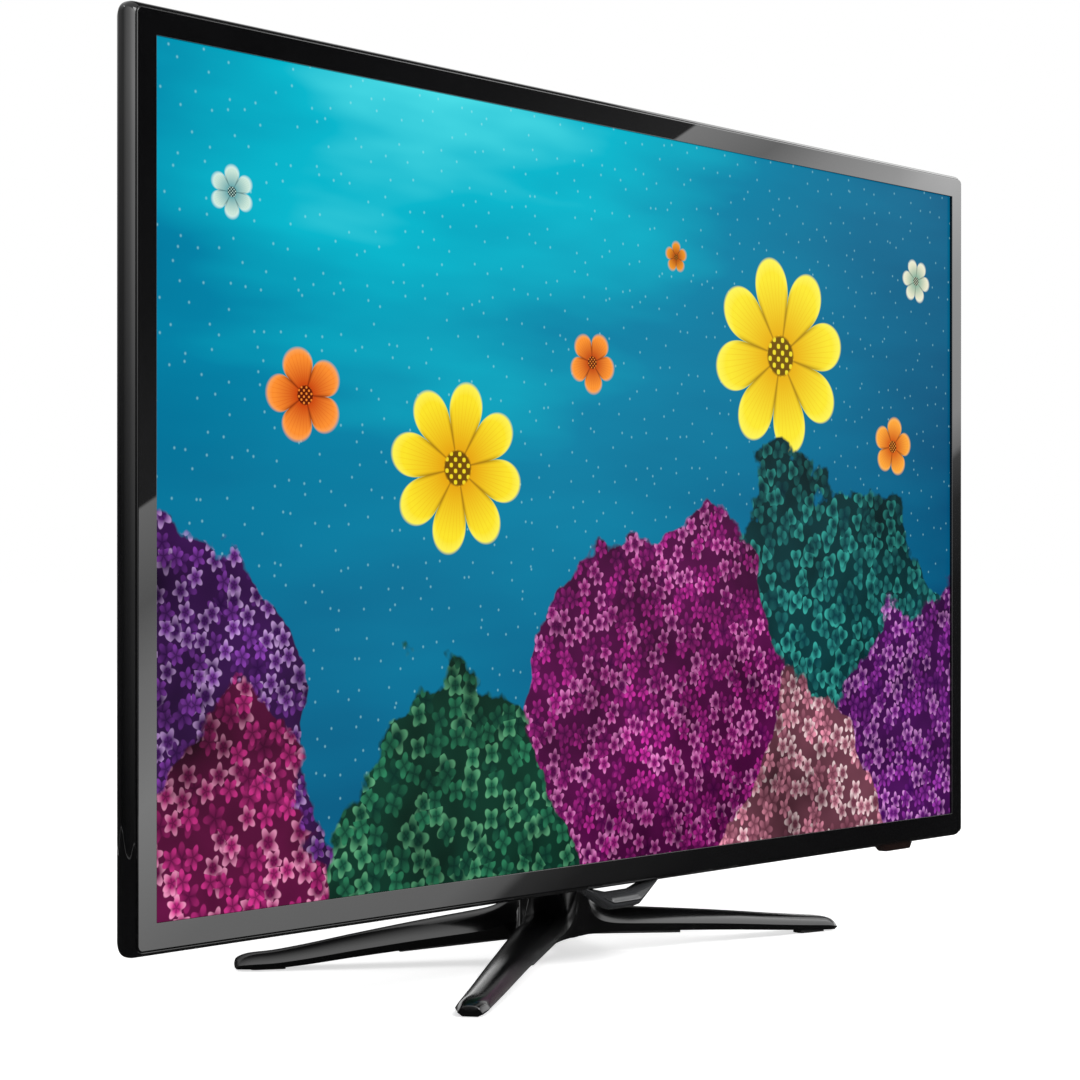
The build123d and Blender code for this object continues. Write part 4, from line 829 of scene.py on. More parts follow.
@dataclass(frozen=True)
class Picture(Finish):
    """The lit screen behind a semi-gloss film: blossoms and banks of small flowers, drawn by formula."""

    middle: float = 325.25
    half_width: float = 444.5
    glow: tuple[float, float] = (-0.42, 0.62)
    stops: tuple[tuple[float, Colour], ...] = (
        (0.0, (0.09, 0.8, 0.86)),
        (0.14, (0.002, 0.47, 0.61)),
        (0.36, (0.0, 0.22, 0.38)),
        (0.62, (0.0, 0.15, 0.29)),
        (1.0, (0.0, 0.05, 0.14)),
    )
    blossoms: tuple[Blossom, ...] = (
        Blossom(0.14, 0.38, 0.028, (0.85, 0.3, 0.02), (0.4, 0.06, 0.0)),
        Blossom(-0.86, 0.38, 0.04, (0.6, 0.8, 0.7), (0.1, 0.35, 0.38), 6.0),
        Blossom(0.88, 0.4, 0.045, (0.8, 0.8, 0.6), (0.2, 0.4, 0.3), 6.0, 0.4),
        Blossom(-0.08, 0.2, 0.055, (0.98, 0.3, 0.03), (0.5, 0.05, 0.0), 5.0, 0.7),
        Blossom(-0.72, 0.12, 0.075, (0.98, 0.28, 0.03), (0.55, 0.04, 0.0), 5.0, 0.3),
        Blossom(0.8, 0.1, 0.06, (0.98, 0.38, 0.04), (0.6, 0.08, 0.0), 5.0, 1.1),
        Blossom(0.44, 0.24, 0.19, (0.98, 0.82, 0.03), (0.8, 0.4, 0.0), 8.0, 0.2),
        Blossom(-0.4, 0.03, 0.145, (0.98, 0.78, 0.02), (0.78, 0.34, 0.0), 8.0, 0.6),
    )
    banks: tuple[FlowerBank, ...] = (
        FlowerBank(0.55, 0.06, 0.95, (0, 0.02, 0.035), (0.02, 0.22, 0.2), (0.04, 0.4, 0.34), 26.0, 4.0, 3.0),
        FlowerBank(-0.98, -0.04, 0.5, (0.02, 0.0, 0.05), (0.3, 0.06, 0.5), (0.7, 0.45, 0.85), 30.0, 9.0),
        FlowerBank(0.12, 0.03, 0.62, (0.05, 0.0, 0.05), (0.62, 0.03, 0.36), (0.95, 0.3, 0.7), 30.0, 14.0),
        FlowerBank(0.95, -0.1, 0.62, (0.03, 0.0, 0.07), (0.42, 0.05, 0.5), (0.8, 0.35, 0.8), 28.0, 19.0),
        FlowerBank(-0.42, -0.22, 0.5, (0, 0.025, 0.02), (0.03, 0.25, 0.12), (0.15, 0.5, 0.25), 24.0, 27.0, 4),
        FlowerBank(0.52, -0.27, 0.45, (0.1, 0.02, 0.04), (0.85, 0.3, 0.42), (0.98, 0.8, 0.8), 26.0, 33.0),
        FlowerBank(-0.88, -0.34, 0.5, (0.06, 0.0, 0.03), (0.75, 0.04, 0.3), (0.98, 0.4, 0.62), 26.0, 41.0),
    )

    def values(self, nodes: Nodes) -> dict[str, object]:
        """The shader's inputs.

        Args:
            nodes: the material's nodes.

        Returns:
            Their values by name.
        """
        canvas = Canvas(nodes, self.middle, self.half_width)
        colour = self.evening(canvas)
        for motif in self.blossoms + self.banks:
            colour = motif.over(canvas, colour)
        film = nodes.noise(nodes.place(), 900.0, 2.0).band(0.2, 0.8, 0.2, 0.27)
        shine = {"Base_Color": (0.001, 0.001, 0.0012), "Roughness": film, "Specular_IOR_Level": 0.008}
        return {"Emission_Color": colour, "Emission_Strength": 1.0, **shine}

    def evening(self, canvas: Canvas) -> Signal:
        """The turquoise evening behind everything.

        Formula: a fall from pale turquoise to deep blue with the distance from a bright place high on the
        left, crossed by slow slanting ripples of stretched noise, with fine pale dust over it.

        Args:
            canvas: the picture's nodes.

        Returns:
            The colour.
        """
        dx, dy = (canvas.across - self.glow[0]) * 0.8, canvas.up - self.glow[1]
        far = (dx * dx + dy * dy).maths("SQRT")
        slant = canvas.stretched(canvas.flat, (0.9, 4.2, 1.0), (0.0, 0.0, 0.5))
        ripple = canvas.noise(slant, 1.7, 3.0, 0.45)
        shift = ripple.band(0.3, 0.7, 0.09, -0.09)
        ramp = canvas.add("ShaderNodeValToRGB", Fac=far.band(0.05, 1.5) + shift)
        while len(ramp.color_ramp.elements) < len(self.stops):
            ramp.color_ramp.elements.new(0.5)
        for element, (position, value) in zip(ramp.color_ramp.elements, self.stops):
            element.position, element.color = position, (*value, 1.0)
        pattern = {"set_voronoi_dimensions": "2D", "Scale": 26.0}
        dust = canvas.out("ShaderNodeTexVoronoi", "Distance", Vector=canvas.flat, **pattern)
        return canvas.mix(dust.band(0.07, 0.02, 0.0, 0.35), canvas.tap(ramp), (0.45, 0.9, 0.9))


class Slot(Enum):
    """The record's material slots and the finish of each."""

    gloss_black = GlossPlastic("gloss_black", (0.003, 0.003, 0.0033), 0.02, 0.03, 0.17)
    gloss_grey = GlossPlastic("gloss_grey", (0.035, 0.036, 0.038), 0.16, 0.08)
    smoked_plastic = GlossPlastic("smoked_plastic", (0.012, 0.006, 0.005), 0.05, 0.03)
    screen_film = Picture("screen_film", (0.03, 0.03, 0.035))
    screen_glass = ClearPart("screen_glass", (0.5, 0.58, 0.62), 0.03, 0.6)
    frame_plastic = GrainedPlastic("frame_plastic", (0.012, 0.012, 0.012), 1200.0, 0.55, 0.03)
    white_sheet = PaleSheet("white_sheet", (0.85, 0.86, 0.86))
    clear_plastic = ClearPart("clear_plastic", (0.9, 0.93, 0.95), 0.06, 0.92)
    plated_steel = SheetMetal("plated_steel", (0.62, 0.63, 0.64), 0.34, 30.0, 14.0, 0.5)
    black_steel = SheetMetal("black_steel", (0.02, 0.02, 0.021), 0.45, 60.0, 4.0, 0.2, 0.4)
    screw_steel = SheetMetal("screw_steel", (0.12, 0.12, 0.125), 0.32, 300.0, 1.0, 0.2)
    bar_aluminium = SheetMetal("bar_aluminium", (0.76, 0.77, 0.78), 0.3, 60.0, 30.0, 0.1)
    circuit_board = SolderMask("circuit_board", (0.015, 0.13, 0.05))
    flex_film = GlossPlastic("flex_film", (0.42, 0.2, 0.045), 0.22, 0.1)
    grained_black = GrainedPlastic("grained_black", (0.014, 0.014, 0.0145), 700.0, 0.46, 0.06)
    socket_steel = SheetMetal("socket_steel", (0.6, 0.6, 0.61), 0.28, 200.0, 2.0, 0.2)
    socket_plastic = GrainedPlastic("socket_plastic", (0.012, 0.012, 0.012), 1600.0, 0.5, 0.02)
    part_plastic = GrainedPlastic("part_plastic", (0.035, 0.035, 0.04), 1100.0, 0.5, 0.04)
    lead_sleeve = Rubber("lead_sleeve", (0.02, 0.02, 0.02), 0.6)
    plug_plastic = GrainedPlastic("plug_plastic", (0.75, 0.73, 0.66), 1500.0, 0.42, 0.02)
    bearing_plastic = GrainedPlastic("bearing_plastic", (0.72, 0.71, 0.66), 1500.0, 0.38, 0.02)
    cap_plastic = GrainedPlastic("cap_plastic", (0.02, 0.02, 0.021), 1500.0, 0.4, 0.02)
    black_rubber = Rubber("black_rubber", (0.014, 0.014, 0.014), 0.78)


class Wardrobe:
    """Makes each slot's material once and puts it on pieces and nodes."""

    def __init__(self, frame: dict) -> None:
        """Makes the materials.

        Args:
            frame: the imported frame.
        """
        for make_group in (fine_wear, moulded_grain, rolled_metal):
            make_group()
        self.nodes = frame["nodes"]
        self.materials = {slot.name: slot.value.make() for slot in Slot}
        self.unlit_film = GlossPlastic("unlit_film", (0.02, 0.021, 0.024), 0.2, 0.08).make()
        self.slots = {part["node"]: part["material_slot"] for part in frame["record"]["subparts"]}

    def put(self, piece: Piece, slot: str, body: str, replaced: str) -> None:
        """Dresses a new piece and ties it to its body.

        Args:
            piece: the piece.
            slot: its material slot.
            body: the body that it rides on.
            replaced: the node that it stands for.
        """
        piece.data.materials.append(self.materials[slot])
        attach(piece, body)
        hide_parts(replaced)
        LOG.info("%s: %d faces, %s", piece.name, len(piece.data.polygons), slot)

    def dress_nodes(self) -> None:
        """Gives every carried-over node its slot's material, and the screen's rear film an unlit one."""
        for name, node in self.nodes.items():
            slot = self.slots[name]
            node.data.materials.clear()
            node.data.materials.append(self.unlit_film if name == "rear_polariser" else self.materials[slot])
            LOG.info("node %s: %s", name, slot)


# The set


@dataclass
class Surround:
    """Front bezel and the crowned band round the set's edge."""

    half: float = 459.5
    bottom: float = 58.8
    top: float = 591.0
    opening_half: float = 444.5
    opening_bottom: float = 74.5
    opening_top: float = 576.0
    corner: float = 4.0
    edge_round: float = 0.8
    mouth_corner: float = 0.25
    mouth_round: float = 0.35
    hold: float = 0.12
    lip: float = 2.3
    skirt: float = 12.0
    wall: float = 2.0
    band_gap: float = 0.3
    band_bulge: float = 3.4
    band_corner: float = 6.0
    band_front: float = 1.2
    band_back: float = 15.6
    profile: Points = ((0.0, 0.2), (0.1, 0.55), (0.3, 0.9), (0.56, 1.0), (0.8, 0.85), (1.0, 0.3))
    profile_steps: int = 25
    round_steps: int = 5
    corner_steps: int = 8
    side_points: int = 6
    crease: float = 40.0

    def ring(self, grow: float, corner: float, depth: float) -> Array:
        """The bezel's outline, grown evenly, at a depth."""
        sides = (self.half + grow, self.bottom - grow, self.top + grow)
        return upright(rounded_ring(*sides, corner, self.corner_steps, self.side_points), depth)

    def mouth(self, grow: float, depth: float) -> Array:
        """The opening's outline, grown evenly, at a depth."""
        sides = (self.opening_half + grow, self.opening_bottom - grow, self.opening_top + grow)
        return upright(rounded_ring(*sides, self.mouth_corner, self.corner_steps, self.side_points), depth)

    def bezel(self) -> list[Array]:
        """The bezel's rings.

        Formula: a profile of (growth, depth) pairs carried round the outline: up the opening's wall, over a
        quarter round to the face, over a second quarter round to the skirt, and back inside. A ring beside
        each round keeps the flats flat.

        Returns:
            The rings, in order round the profile.
        """
        turn = np.linspace(0, math.pi / 2, self.round_steps)
        mouth_edge, edge = self.mouth_round + self.hold, self.edge_round + self.hold
        rings = [self.mouth(0, self.lip), self.mouth(0, mouth_edge)]
        for a in turn:
            grow, depth = self.mouth_round * (1 - math.cos(a)), self.mouth_round * (1 - math.sin(a))
            rings.append(self.mouth(grow, depth))
        rings += [self.mouth(mouth_edge, 0), self.ring(-edge, self.corner - edge, 0)]
        for a in turn:
            inset = self.edge_round * (1 - math.sin(a))
            rings.append(self.ring(-inset, self.corner - inset, self.edge_round * (1 - math.cos(a))))
        rings += [self.ring(0, self.corner, depth) for depth in (edge, self.skirt)]
        inside = (-self.wall, self.corner - self.wall)
        return rings + [self.ring(*inside, depth) for depth in (self.skirt, self.lip)]

    def band(self) -> list[Array]:
        """The crowned band's rings.

        Formula: growth = gap at the inside, and bulge times a smooth line through the profile's shares, at
        most the bulge, at the outside.

        Returns:
            The rings, in order round the profile.
        """
        shares = np.linspace(0, 1, self.profile_steps)
        bulge = np.minimum(self.band_bulge * smooth_line(self.profile, shares), self.band_bulge)
        depths = self.band_front + shares * (self.band_back - self.band_front)
        inside = (self.band_gap, self.corner + self.band_gap)
        rings = [self.ring(*inside, depth) for depth in (self.band_back, self.band_front)]
        return rings + [self.ring(grow, self.band_corner, depth) for grow, depth in zip(bulge, depths)]

    def build(self, wardrobe: Wardrobe) -> None:
        """Builds and dresses both as closed tubes.

        Args:
            wardrobe: the materials.
        """
        parts = (("bezel_surround", self.bezel(), "front_bezel"), ("edge_band", self.band(), "outer_band"))
        for name, rings, replaced in parts:
            skin = Skin()
            skin.grid(np.stack(rings), wrap_rows=True, wrap_columns=True)
            wardrobe.put(skin.build(name, self.crease), "gloss_black", "tv_set", replaced)


@dataclass
class Cradle:
    """The bare badge cradle under the middle of the lower border: a slanted face over a lip, and two arms.

    Both sections are (depth, height) points in the same order: rim, face, groove, lip, underside and back.
    """

    ear_half: float = 43.0
    lip_half: float = 15.5
    bend: float = 1.4
    middle_half: float = 12.0
    middle_steps: int = 7
    arm_steps: int = 60
    crease: float = 30.0
    middle: Points = (
        (9.0, 52.2), (7.0, 52.5), (6.2, 52.2), (-1.0, 45.9), (-1.35, 45.45), (-1.1, 45.0), (-0.5, 44.75),
        (-1.2, 44.45), (-1.0, 43.2), (0.4, 41.6), (4.0, 40.1), (10.0, 40.7), (14.6, 43.5), (15.0, 47.0),
        (13.0, 51.0),
    )
    ear: Points = (
        (10.0, 58.4), (7.0, 58.5), (6.0, 58.4), (3.4, 58.1), (3.1, 57.9), (3.0, 57.75), (3.05, 57.6),
        (3.0, 57.45), (3.1, 57.2), (3.4, 57.0), (6.0, 56.7), (10.0, 56.6), (13.5, 56.8), (14.5, 57.3),
        (13.5, 58.1),
    )

    def build(self, wardrobe: Wardrobe) -> None:
        """Builds the loop as a section carried from ear to ear.

        Formula: section = middle (1 - t) + ear t, where t runs straight from the lip's end to the ear, with
        a small round bend. Each section gets a point halfway along every side.

        Args:
            wardrobe: the materials.
        """
        arm = np.linspace(self.middle_half, self.ear_half, self.arm_steps)
        lip = np.linspace(-self.middle_half, self.middle_half, self.middle_steps)[1:-1]
        across = np.concatenate([-arm[::-1], lip, arm])
        past, run = np.abs(across) - self.lip_half, self.ear_half - self.lip_half
        t = np.clip((np.sqrt(past**2 + self.bend**2) + past) / (2 * run), 0, 1)[:, None, None]
        section = np.array(self.middle)[None] * (1 - t) + np.array(self.ear)[None] * t
        halfway = 0.5 * (section + np.roll(section, -1, 1))
        doubled = np.stack([section, halfway], 2).reshape(len(across), -1, 2)
        place = np.broadcast_to(across[:, None], doubled.shape[:2])
        points = np.stack([place, at_depth(doubled[..., 0]), doubled[..., 1]], -1)
        skin = Skin()
        skin.grid(points, wrap_columns=True)
        skin.fan(points[0], points[0].mean(0))
        skin.fan(points[-1], points[-1].mean(0), flip=True)
        wardrobe.put(skin.build("badge_cradle_loop", self.crease), "gloss_grey", "tv_set", "badge_cradle")


@dataclass
class SensorLens:
    """The smoked window under the right part of the lower border."""

    left: float = 341.5
    right: float = 386.5
    taper_start: float = 55.4
    front: float = 3.0
    back: float = 11.0
    taper_left: float = 6.0
    taper_right: float = 3.0
    edge: float = 0.7
    corner: float = 0.9
    corner_steps: int = 6
    side_points: int = 2
    crease: float = 40.0
    levels: Points = ((60.7, 0), (55.4, 0), (54.0, 0), (52.6, 0), (51.6, 0.12), (51.15, 0.4), (51.0, 1.0))

    def build(self, wardrobe: Wardrobe) -> None:
        """Builds the lens.

        Formula: rounded sections that narrow from the taper's start down to a rounded floor. Each level is a
        height and the share of the floor's round that it is drawn in by.

        Args:
            wardrobe: the materials.
        """
        floor = self.levels[-1][0]
        rings = []
        for height, round_share in self.levels:
            s, inset = (self.taper_start - height) / (self.taper_start - floor), self.edge * round_share
            s = max(s, 0.0)
            left, right = self.left + self.taper_left * s + inset, self.right - self.taper_right * s - inset
            sides = ((right - left) / 2, self.front + inset, self.back - inset)
            flat = rounded_ring(*sides, self.corner, self.corner_steps, self.side_points)
            across = flat[:, 0] + (left + right) / 2
            rings.append(np.stack([across, at_depth(flat[:, 1]), np.full(len(flat), height)], 1))
        skin = Skin()
        skin.grid(np.stack(rings), wrap_columns=True)
        skin.fan(rings[0], rings[0].mean(0), flip=True)
        skin.fan(rings[-1], rings[-1].mean(0))
        wardrobe.put(skin.build("sensor_window", self.crease), "smoked_plastic", "tv_set", "sensor_lens")


# The stand


@dataclass(frozen=True)
class Leg:
    """One leg's tip, the (distance from the axis, height) points of its underside, and its thicknesses."""

    tip: tuple[float, float]
    under: Points
    root_thick: float
    tip_thick: float


FRONT_LEG = Leg((246.0, -96.0), ((30.0, 17.5), (155.0, 8.95), (223.0, 3.4), (264.1, 0.6)), 19.3, 9.9)
BACK_LEG = Leg(
    (163.0, 152.0),
    ((30.0, 17.5), (64.0, 14.6), (98.0, 11.5), (141.0, 6.9), (182.0, 2.1), (196.0, 0.9), (222.9, 0.8)),
    23.4,
    10.2,
)


@dataclass(frozen=True)
class Crotch:
    """How the walls run in the corner between two legs, by its least half angle in radians.

    The underside's corner lies `reach` from the axis and its curve leads in by `lead`. The side lines turn
    in between `turn_least` and `turn_most` from the axis.
    """

    least: float
    reach: float
    lead: float
    turn_least: float
    turn_most: float


@dataclass
class StarStand:
    """The four-legged stand's cover. Each leg's crowned top sweeps up the neck between narrow side walls."""

    turn: float = 6.0
    root_half: float = 18.0
    middle_half: float = 14.5
    tip_half: float = 11.0
    hub_underside: float = 17.5
    hub_reach: float = 30.0
    foot_share: float = 0.62
    side_share: float = 0.37
    tip_round: float = 15.0
    tip_corner: float = 7.0
    tip_width_share: float = 0.72
    tip_height_share: float = 0.6
    tip_steps: int = 8
    neck_top: float = 60.2
    neck_radius: float = 26.0
    wall_half: float = 4.5
    wall_foot: float = 9.0
    sweep_start: float = 60.0
    past_neck: float = 3.0
    wide: Crotch = Crotch(1.0, 25.2, 4.0, 27.0, 27.0)
    narrow: Crotch = Crotch(0.0, 31.0, 1.6, 0.0, 36.0)
    meet_share: float = 0.97
    meet_past: float = 6.0
    ridge_lead: float = 40.0
    ridge_lean_share: float = 0.2
    ridge_out: float = 2.2
    ridge_up: float = 1.0
    bore: float = 19.6
    bore_floor: float = 25.0
    crown_power: float = 3.0
    across: int = 24
    along: int = 32
    sweep: int = 28
    wall_steps: int = 7
    crease: float = 24.0
    weld: float = 0.02

    @property
    def straight(self) -> int:
        """The last station before the sweep."""
        return self.tip_steps + self.along - 1

    def legs(self) -> list[tuple[float, float, Leg]]:
        """The legs, anticlockwise from the front right one.

        Returns:
            Each leg's angle, length and lines.
        """
        made = []
        for leg, side in ((FRONT_LEG, 1), (BACK_LEG, 1), (BACK_LEG, -1), (FRONT_LEG, -1)):
            x, y = leg.tip[0] * side, leg.tip[1]
            made.append((math.atan2(y, x) + math.radians(self.turn), math.hypot(x, y), leg))
        return made

    def leg_lines(self, leg: Leg, length: float, before: float, after: float) -> dict[str, Array]:
        """The leading lines of one leg, in its own frame.

        Formula: the side lines lie at half the width, which has two straight tapers, and at the side share
        of the height, the ridge at full height and the foot lines at the foot share of the width. Towards
        the tip the stations close up as on a quarter circle, the height falls along a quarter ellipse to its
        share and the width straight to its own. From the sweep's start every line follows a cubic curve.

        Args:
            leg: the leg's middle lines.
            length: the leg's length.
            before: half the angle to the leg before.
            after: half the angle to the leg after.

        Returns:
            Lines from the tip to the neck's top: left, right, ridge, foot_left and foot_right.
        """
        fall = 1 - np.cos(np.linspace(0, math.pi / 2, self.tip_steps + 1)[:-1])
        body = np.linspace(length - self.tip_round, self.sweep_start, self.along)
        a = np.concatenate([length - self.tip_round * fall, body])
        tapers = [self.root_half, self.middle_half, self.tip_half]
        half = np.interp(a, [self.hub_reach, length / 2, length], tapers)
        low = smooth_line(leg.under, np.clip(a, self.hub_reach, length))
        thick = leg.root_thick + (leg.tip_thick - leg.root_thick) * a / length
        blunt = 1 - np.sqrt(1 - (1 - np.clip((length - a) / self.tip_round, 0, 1)) ** 2)
        half *= 1 - (1 - self.tip_width_share) * (1 - np.clip((length - a) / self.tip_corner, 0, 1))
        thick *= 1 - (1 - self.tip_height_share) * blunt
        lines = {"ridge": self.ridge(np.stack([a, np.zeros_like(a), low + thick], 1), (after - before) / 2)}
        for name, angle, sign in (("right", after, 1), ("left", before, -1)):
            side = np.stack([a, sign * half, low + thick * self.side_share], 1)
            foot = np.stack([a, sign * half * self.foot_share, low], 1)
            lines[name] = self.side_line(side, angle, sign)
            lines["foot_" + name] = self.foot_line(foot, angle, sign)
        return lines

    @staticmethod
    def ahead(line: Array, reach: float) -> Array:
        """Where a line's last slope comes to a distance from the axis."""
        slope = (line[-2] - line[-1]) / (line[-2][0] - line[-1][0])
        return line[-1] + slope * (reach - line[-1][0])

    def swept(self, line: Array, *handles: Array) -> Array:
        """A line carried on by a cubic curve, by its two handles and its end."""
        t = np.linspace(0, 1, self.sweep + 1)[1:]
        return np.vstack([line, bezier(np.array([line[-1], *handles]), t)])

    def crotch(self, angle: float) -> Crotch:
        """The kind of corner that half an angle between legs makes."""
        return self.wide if angle > self.wide.least else self.narrow

    def side_line(self, line: Array, angle: float, sign: int) -> Array:
        """A side line that turns upright at the neck, next to the wall between two legs.

        Formula: it turns in a little past where both legs' side lines would meet, within the limits.

        Args:
            line: the line along the leg.
            angle: half the angle to the neighbour.
            sign: 1 on the right and -1 on the left.

        Returns:
            The whole line.
        """
        kind, end_angle = self.crotch(angle), angle - math.asin(self.wall_half / self.neck_radius)
        side = sign * self.neck_radius * math.sin(end_angle)
        end = np.array([self.neck_radius * math.cos(end_angle), side, self.neck_top])
        rise = end - [0, 0, self.neck_top - self.hub_underside - self.wall_foot]
        meet = self.meet_share * self.root_half / math.tan(angle) + self.meet_past
        reach = max(min(max(meet, kind.turn_least), kind.turn_most), end[0] + self.past_neck)
        return self.swept(line, self.ahead(line, reach), rise, end)

    def foot_line(self, line: Array, angle: float, sign: int) -> Array:
        """A foot line that ends at the underside's corner between two legs.

        Args:
            line: the line along the leg.
            angle: half the angle to the neighbour.
            sign: 1 on the right and -1 on the left.

        Returns:
            The whole line.
        """
        kind, c, s = self.crotch(angle), math.cos(angle), sign * math.sin(angle)
        bottom = np.array([kind.reach * c, kind.reach * s, self.hub_underside])
        near = bottom + np.array([abs(s), -sign * c, 0]) * kind.lead
        return self.swept(line, self.ahead(line, max(bottom[0], self.hub_reach)), near, bottom)

    def ridge(self, line: Array, angle: float) -> Array:
        """The ridge, carried on to the neck's top.

        Args:
            line: the ridge along the leg.
            angle: how far the middle of the leg's part of the neck is turned from the leg.

        Returns:
            The whole ridge.
        """
        side = self.neck_radius * math.sin(angle)
        top = np.array([self.neck_radius * math.cos(angle), side, self.neck_top])
        lead = self.ahead(line, self.ridge_lead) + [0, side * self.ridge_lean_share, 0]
        bend = np.array([top[0] + self.ridge_out, side, lead[2] + self.ridge_up])
        return self.swept(line, lead, bend, top)

    def top_patch(self, lines: dict[str, Array], span: float) -> Array:
        """The crowned top between the side lines.

        Formula: point = chord + (ridge - chord's middle) times a crown that falls from 1 at the ridge to 0
        at the side lines. It is 1 - |v|^3 along the leg and the arc of the neck's circle at the top.

        Args:
            lines: the leg's leading lines.
            span: half the angle that the leg takes of the neck.

        Returns:
            Stations by places across by three.
        """
        v = np.linspace(-1, 1, self.across + 1)
        swept = np.clip((np.arange(len(lines["ridge"])) - self.straight) / self.sweep, 0, 1)[:, None]
        s, c = math.sin(span), math.sqrt(1 - math.sin(span) ** 2)
        arc = (np.sqrt(1 - (s * v) ** 2) - c) / (1 - c)
        blend = swept * swept * (3 - 2 * swept)
        crown = (1 - blend) * (1 - np.abs(v) ** self.crown_power)[None, :] + blend * arc[None, :]
        left, right, ridge = (lines[key][:, None, :] for key in ("left", "right", "ridge"))
        share = ((v + 1) / 2)[None, :, None]
        return left * (1 - share) + right * share + (ridge - (left + right) / 2) * crown[:, :, None]

    @staticmethod
    def turned(points: Array, angle: float) -> Array:
        """Points turned about the axis."""
        x, y, c, s = points[..., 0], points[..., 1], math.cos(angle), math.sin(angle)
        return np.stack([c * x - s * y, s * x + c * y, points[..., 2]], -1)

    def cover(self) -> Piece:
        """The whole cover as one closed skin.

        Formula: four top patches, four side walls that run from tip to tip round each inner corner, four
        tips, an underside, the neck's top ring and its bore.

        Returns:
            The piece.
        """
        legs, skin, made, hub = self.legs(), Skin(), [], []
        gaps = [((legs[(i + 1) % 4][0] - legs[i][0]) % (2 * math.pi)) / 2 for i in range(4)]
        wall_turn = math.asin(self.wall_half / self.neck_radius)
        for i, (angle, length, leg) in enumerate(legs):
            lines = self.leg_lines(leg, length, gaps[i - 1], gaps[i])
            top = self.turned(self.top_patch(lines, (gaps[i - 1] + gaps[i]) / 2 - wall_turn), angle)
            made.append({key: self.turned(line, angle) for key, line in lines.items()} | {"top": top[-1]})
            feet = np.stack([made[-1]["foot_left"], made[-1]["foot_right"]], 1)[: self.straight + 1]
            skin.grid(top)
            skin.grid(np.stack([top[0][[0, -1]], feet[0]]))
            skin.fan(top[0], top[0][[0, -1]].mean(0))
            skin.grid(feet)
        rows = np.linspace(0, 1, self.wall_steps)[:, None, None]
        for here, after in zip(made, made[1:] + made[:1]):
            high = np.vstack([here["right"], after["left"][::-1]])
            low = np.vstack([here["foot_right"], after["foot_left"][::-1]])
            skin.grid(high[None] * (1 - rows) + low[None] * rows)
            hub.append(low[self.straight : len(low) - self.straight])
        skin.fan(np.vstack(hub[3:] + hub[:3]), np.array([0, 0, self.hub_underside]))
        outer = np.vstack([leg["top"] for leg in made])
        angles = np.arctan2(outer[:, 1], outer[:, 0])
        height = np.full(len(outer), self.neck_top)
        lip = np.stack([self.bore * np.cos(angles), self.bore * np.sin(angles), height], 1)
        floor = lip * [1, 1, 0] + [0, 0, self.bore_floor]
        skin.grid(np.stack([outer, lip, floor]), wrap_columns=True)
        skin.fan(floor, np.array([0, 0, self.bore_floor]))
        return skin.build("star_cover", self.crease, self.weld)

    def build(self, wardrobe: Wardrobe) -> None:
        """Builds and dresses the cover."""
        wardrobe.put(self.cover(), "gloss_black", "stand", "stand_cover")


# Studio


def stage_sheet(name: str, low: Place, high: Place) -> tuple[Piece, Nodes]:
    """A flat stage sheet that is square to the axes, with a material of its own.

    Args:
        name: the sheet's name.
        low: its lowest corner, in metres.
        high: its highest corner, which agrees with the lowest along one axis.

    Returns:
        The sheet and the helper for its material's nodes.
    """
    first, second = [axis for axis in range(3) if low[axis] != high[axis]]
    corners = [list(low) for _ in range(4)]
    for corner, axis in ((1, first), (2, first), (2, second), (3, second)):
        corners[corner][axis] = high[axis]
    mesh = bpy.data.meshes.new(name)
    mesh.from_pydata(corners, [], [(0, 1, 2, 3)])
    material, nodes = new_material(name)
    mesh.materials.append(material)
    piece = placed_object(name, mesh)
    return piece, nodes


@dataclass(frozen=True)
class Card:
    """A studio card that only shines see: its corners in metres, and its brightness along two ways.

    Formula: brightness = a line through `main` at the place along `way`, times a line through `other` at the
    place along `other_way`. A place is the sum of the coordinates in metres, each times its part of the way.
    """

    name: str
    low: Place
    high: Place
    way: Place
    main: Points
    other_way: Place = (1.0, 0.0, 0.0)
    other: Points = ((0.0, 1.0),)
    from_below: bool = False

    @staticmethod
    def line(nodes: Nodes, way: Place, stops: Points) -> Signal | float:
        """Brightness along one way.

        Args:
            nodes: the material's nodes.
            way: the direction in which the place is measured.
            stops: places and brightnesses, rising.

        Returns:
            The brightness, straight between the stops.
        """
        sums = {"set_operation": "DOT_PRODUCT", "_0": nodes.place(), "_1": way}
        place = nodes.out("ShaderNodeVectorMath", "Value", **sums)
        total = stops[0][1]
        for (start, low), (end, high) in zip(stops, stops[1:]):
            total = total + place.band(start, end, 0.0, high - low)
        return total

    def build(self) -> None:
        """Builds the card and hides it from the camera, from plain light and from shadow."""
        piece, nodes = stage_sheet(self.name, self.low, self.high)
        power = self.line(nodes, self.way, self.main) * self.line(nodes, self.other_way, self.other)
        surface = nodes.out("ShaderNodeEmission", Color=(1.0, 1.0, 1.0), Strength=power)
        if self.from_below:
            side = nodes.out("ShaderNodeNewGeometry", "Backfacing")
            clear = nodes.out("ShaderNodeBsdfTransparent")
            surface = nodes.out("ShaderNodeMixShader", _0=side, _1=clear, _2=surface)
        nodes.feed(nodes.tree.nodes["Material Output"].inputs["Surface"], surface)
        piece.visible_camera = False
        piece.visible_diffuse = False
        piece.visible_transmission = False
        piece.visible_shadow = False


